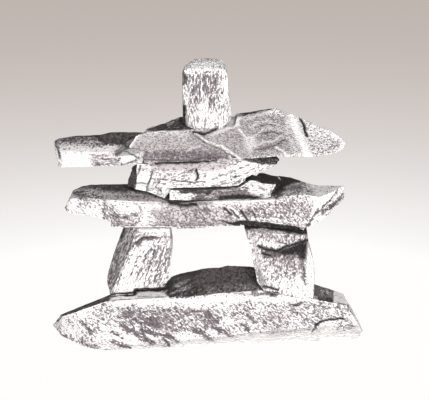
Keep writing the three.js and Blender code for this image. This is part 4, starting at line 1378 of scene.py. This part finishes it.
@dataclass
class ShoulderSlab(Stone):
    """The leaning slab that is shoulders and right arm in one: grey, veined and broken on the right."""

    node: str = "shoulder_slab"
    seed: int = 8
    relief: Relief = Relief(along=(0.9, 0.0, -0.4), across=(0.1, -0.67, 0.74), flute=0.45, facet=0.6)
    finish: Finish = Finish(
        film=(0.34, 0.31, 0.31), grain=(1.5, 1.0, 0.95), turn=(0.0, 20.0, 0.0), specks=0.47, flecks=-0.02
    )
    skin_up: tuple[float, float] = (0.86, 0.95)
    # The grey film of the leaning face, which is painted shade there as well, with stain and a paler band.
    GREY_FACE = (
        Patch(6, (130, 146), (142, 132), (182, 131), (196, 132), (240, 118), (262, 112), (285, 117),
              (291, 128), (300, 152), (240, 160), (160, 162), (128, 158), film=0.72),
        Patch(9, (190, 133), (236, 140), (240, 152), (206, 158), (190, 148), stain=0.15),
        Patch(7, (140, 154), (160, 151), (214, 150), (238, 157), (216, 162), (140, 162), stain=0.7),
        Stroke(4.0, (146, 134), (166, 134), (186, 135), bare=0.3),
        Patch(8, (232, 120), (262, 114), (284, 118), (292, 150), (250, 156), (234, 142), stain=0.2),
    )
    # Painted shade along the top edge and in the gap under the head, and painted light on the notch wall
    # beside the head, which the lamps leave dark.
    TOP_EDGE = (
        Patch(2, (150, 127), (165, 119), (183, 112), (183, 131), (160, 131), shade=0.4),
        Patch(3, (230, 117), (240, 112), (262, 106), (283, 106), (268, 111), (240, 117), (231, 122),
              shade=0.45),
        Stroke(2.4, (231, 121), (236, 117), (240, 114), vein=1.4),
        Stroke(1.8, (232, 120), (226, 129), (212, 135), bare=0.8),
        Patch(3, (230, 111), (239, 111), (240, 126), (228, 130), bare=1.0),
        Stroke(1.5, (194, 132), (204, 134), (216, 130), shade=1.0),
    )
    LONG_VEIN = (
        Stroke(0.8, (195, 133), (207, 141), (214, 144), vein=1.0, depth=-0.2),
        Stroke(1.0, (216, 145), (222, 146), (231, 152), (240, 158), vein=1.0, depth=-0.2),
        Stroke(0.9, (194, 135), (206, 143), (220, 149), (234, 157), shade=0.35, depth=0.5),
        Stroke(0.8, (226, 150), (231, 158), vein=0.8),
        Stroke(0.8, (187, 152), (192, 148), (200, 146), vein=0.5),
    )
    BROKEN_PART = (
        Stroke(1.1, (239, 129), (243, 133), (246, 138), (252, 138), vein=1.0, depth=-0.2),
        Patch(5, (244, 136), (255, 136), (257, 147), (250, 153), (245, 147), vein=0.6),
        Stroke(0.9, (255, 146), (262, 143), (274, 141), (281, 136), vein=0.6),
        Stroke(1.3, (254, 149), (264, 148), (276, 145), (284, 139), stain=0.8, depth=0.6),
        Stroke(1.0, (250, 127), (258, 122), (268, 121), (279, 125), bare=0.7),
        Stroke(0.9, (256, 135), (263, 129), (273, 127), (282, 131), bare=0.6),
        Stroke(1.4, (258, 127), (266, 124), (274, 125), stain=0.7),
        Stroke(1.6, (262, 134), (270, 131), (279, 134), stain=0.7),
        Stroke(1.2, (244, 121), (256, 115), (270, 112), bare=0.6),
        Stroke(1.1, (276, 147), (283, 151), (289, 157), vein=0.8),
    )
    WHITE_BAND = (
        Stroke(3.2, (291, 116), (297, 130), (303, 143), (308, 156), vein=1.3, depth=-0.5),
        Stroke(2.0, (286, 122), (288, 136), (296, 150), bare=0.5),
        Stroke(1.4, (300, 118), (304, 124), (307, 135), shade=1.0, depth=1.6),
    )
    OUTER_RIM = (
        Patch(4, (305, 122), (330, 134), (340, 144), (328, 155), (310, 156), stain=0.05),
        Stroke(3.4, (302, 115), (333, 130), (345, 140), (343, 150), (331, 158), bare=1.4),
        Stroke(1.6, (141, 131), (134, 140), (127, 149), vein=0.7),
        Stroke(1.4, (160, 161), (188, 160), (216, 158), shade=0.5),
    )
    marks: Marks = GREY_FACE + TOP_EDGE + LONG_VEIN + BROKEN_PART + WHITE_BAND + OUTER_RIM


@dataclass
class HeadStone(Stone):
    """The upright block on top, furrowed from top to bottom."""

    node: str = "head_stone"
    lie: Lie = Lie.UPRIGHT
    spacing: Triple = (0.8, 0.9, 0.8)
    seed: int = 9
    relief: Relief = Relief(
        across=(1.0, 0.2, 0.0), along=(0.08, 0.0, 1.0), bed=0.25, flute=1.0, flute_size=2.6, flute_stretch=5.0
    )
    finish: Finish = Finish(grain=(3.2, 1.15, 1.15), turn=(0.0, -88.0, 0.0), specks=0.4, flecks=0.1)
    skin: float = 0.0
    TOP = (
        Patch(4, (184, 66), (200, 55), (222, 56), (230, 72), (186, 73), bare=0.5),
        Patch(5, (190, 60), (204, 56), (220, 58), (222, 68), (192, 68), film=0.15),
        Stroke(1.4, (186, 73), (206, 74), (226, 73), bare=0.6),
    )
    FACE = (
        Patch(7, (188, 70), (218, 70), (220, 96), (214, 112), (205, 100), (197, 106), (190, 114),
              stain=0.42),
        Patch(5, (200, 124), (200, 113), (206, 103), (212, 110), (215, 122), bare=0.12),
        Patch(3, (180, 70), (188, 70), (188, 84), (182, 86), stain=0.6),
        Stroke(1.4, (183, 72), (186, 78), shade=0.6),
        Stroke(1.6, (181, 72), (181, 104), bare=0.8),
        Stroke(2.2, (227, 74), (229, 96), (232, 114), bare=0.8),
    )
    FOOT = (
        Stroke(2.2, (184, 107), (184, 119), (185, 130), shade=1.1),
        Stroke(1.6, (194, 131), (204, 132), (216, 129), shade=1.2),
    )
    marks: Marks = TOP + FACE + FOOT


@dataclass(frozen=True)
class Lamp:
    """A soft box. Azimuth 0 is the camera's side and 90 the right, angles in degrees, sizes in metres."""

    name: str
    azimuth: float
    elevation: float
    distance: float
    size: float
    power: float
    colour: Colour = (1.0, 1.0, 1.0)

    def hang(self, target: Vector) -> None:
        """Hangs the lamp so that it shines on the target."""
        turn, lift = math.radians(self.azimuth), math.radians(self.elevation)
        away = Vector((math.sin(turn) * math.cos(lift), -math.cos(turn) * math.cos(lift), math.sin(lift)))
        data = bpy.data.lights.new(self.name, "AREA")
        data.shape = "SQUARE"
        data.size = self.size
        data.energy = self.power
        data.color = self.colour
        lamp = bpy.data.objects.new(self.name, data)
        lamp.location = target + away * self.distance
        lamp.rotation_euler = away.to_track_quat("Z", "Y").to_euler()
        bpy.context.scene.collection.objects.link(lamp)


@dataclass(frozen=True)
class Studio:
    """The pale glowing floor with its painted pool of light, and the soft light round the figure."""

    floor_size: float = 40.0
    # The painted pool of light: its white under the figure, the warm grey it fades to, its reach and its
    # fading.
    near_colour: Colour = (1.0, 0.99, 0.985)
    far_colour: Colour = (0.515, 0.451, 0.418)
    white_reach: float = 0.35
    fade: float = 0.62
    air: Colour = (0.62, 0.58, 0.55)
    air_strength: float = 0.16
    lamps: tuple[Lamp, ...] = (
        Lamp("key_light", 8.0, 19.0, 1.7, 0.4, 44.0),
        Lamp("floor_bounce", 4.0, -38.0, 1.5, 0.9, 11.0, (1.0, 0.985, 0.98)),
        Lamp("left_back_light", 236.0, 8.0, 1.6, 0.8, 9.0, (1.0, 0.98, 0.96)),
        Lamp("right_back_light", 124.0, 8.0, 1.6, 0.8, 9.0, (0.96, 0.98, 1.0)),
    )

    def floor_material(self) -> bpy.types.Material:
        """A glow of its own painted as a pool of light: white under the figure, dying away exponentially to
        warm grey.
        """
        shader = Shader("floor_paper")
        coordinates = shader.add("ShaderNodeTexCoord", output="Object")
        distance = shader.add("ShaderNodeVectorMath", {"operation": "LENGTH"}, {0: coordinates}, output=1)
        near = ((self.white_reach - distance) * (1.0 / self.fade)).maths("EXPONENT", clamp=True)
        colour = shader.blend(near, self.far_colour, self.near_colour)
        # The floor glows of its own, though it lights nothing: the pool of light is painted.
        glow = shader.add("ShaderNodeEmission", {}, {"Color": colour, "Strength": 1.0})
        return shader.finish(glow)

    def build(self, view: Viewpoint) -> None:
        """Lays the floor, hangs the lamps and fills the air with light."""
        half = self.floor_size / 2.0
        corners = [(-half, -half, 0.0), (half, -half, 0.0), (half, half, 0.0), (-half, half, 0.0)]
        mesh = bpy.data.meshes.new("floor")
        mesh.from_pydata(corners, [], [(0, 1, 2, 3)])
        mesh.materials.append(self.floor_material())
        floor = bpy.data.objects.new("floor", mesh)
        floor.visible_diffuse = floor.visible_glossy = floor.visible_shadow = False
        bpy.context.scene.collection.objects.link(floor)
        for lamp in self.lamps:
            lamp.hang(Vector(view.target) / METRE)
        world = bpy.data.worlds.new("air")
        world.use_nodes = True
        background = world.node_tree.nodes["Background"]
        background.inputs["Color"].default_value = (*self.air, 1.0)
        background.inputs["Strength"].default_value = self.air_strength
        bpy.context.scene.world = world
        bpy.context.scene.view_settings.view_transform = "Standard"


def main() -> None:
    """Builds the studio and the nine stones."""
    logging.basicConfig(level=logging.INFO, format="%(name)s: %(message)s")
    view = Viewpoint()
    view.make_camera()
    Studio().build(view)
    legs_and_hip = (BaseStone, LeftLeg, RightLeg, HipSlab)
    for kind in (*legs_and_hip, LowerWaist, UpperWaist, LeftArm, ShoulderSlab, HeadStone):
        kind().build(view)


if __name__ == "__main__":
    main()
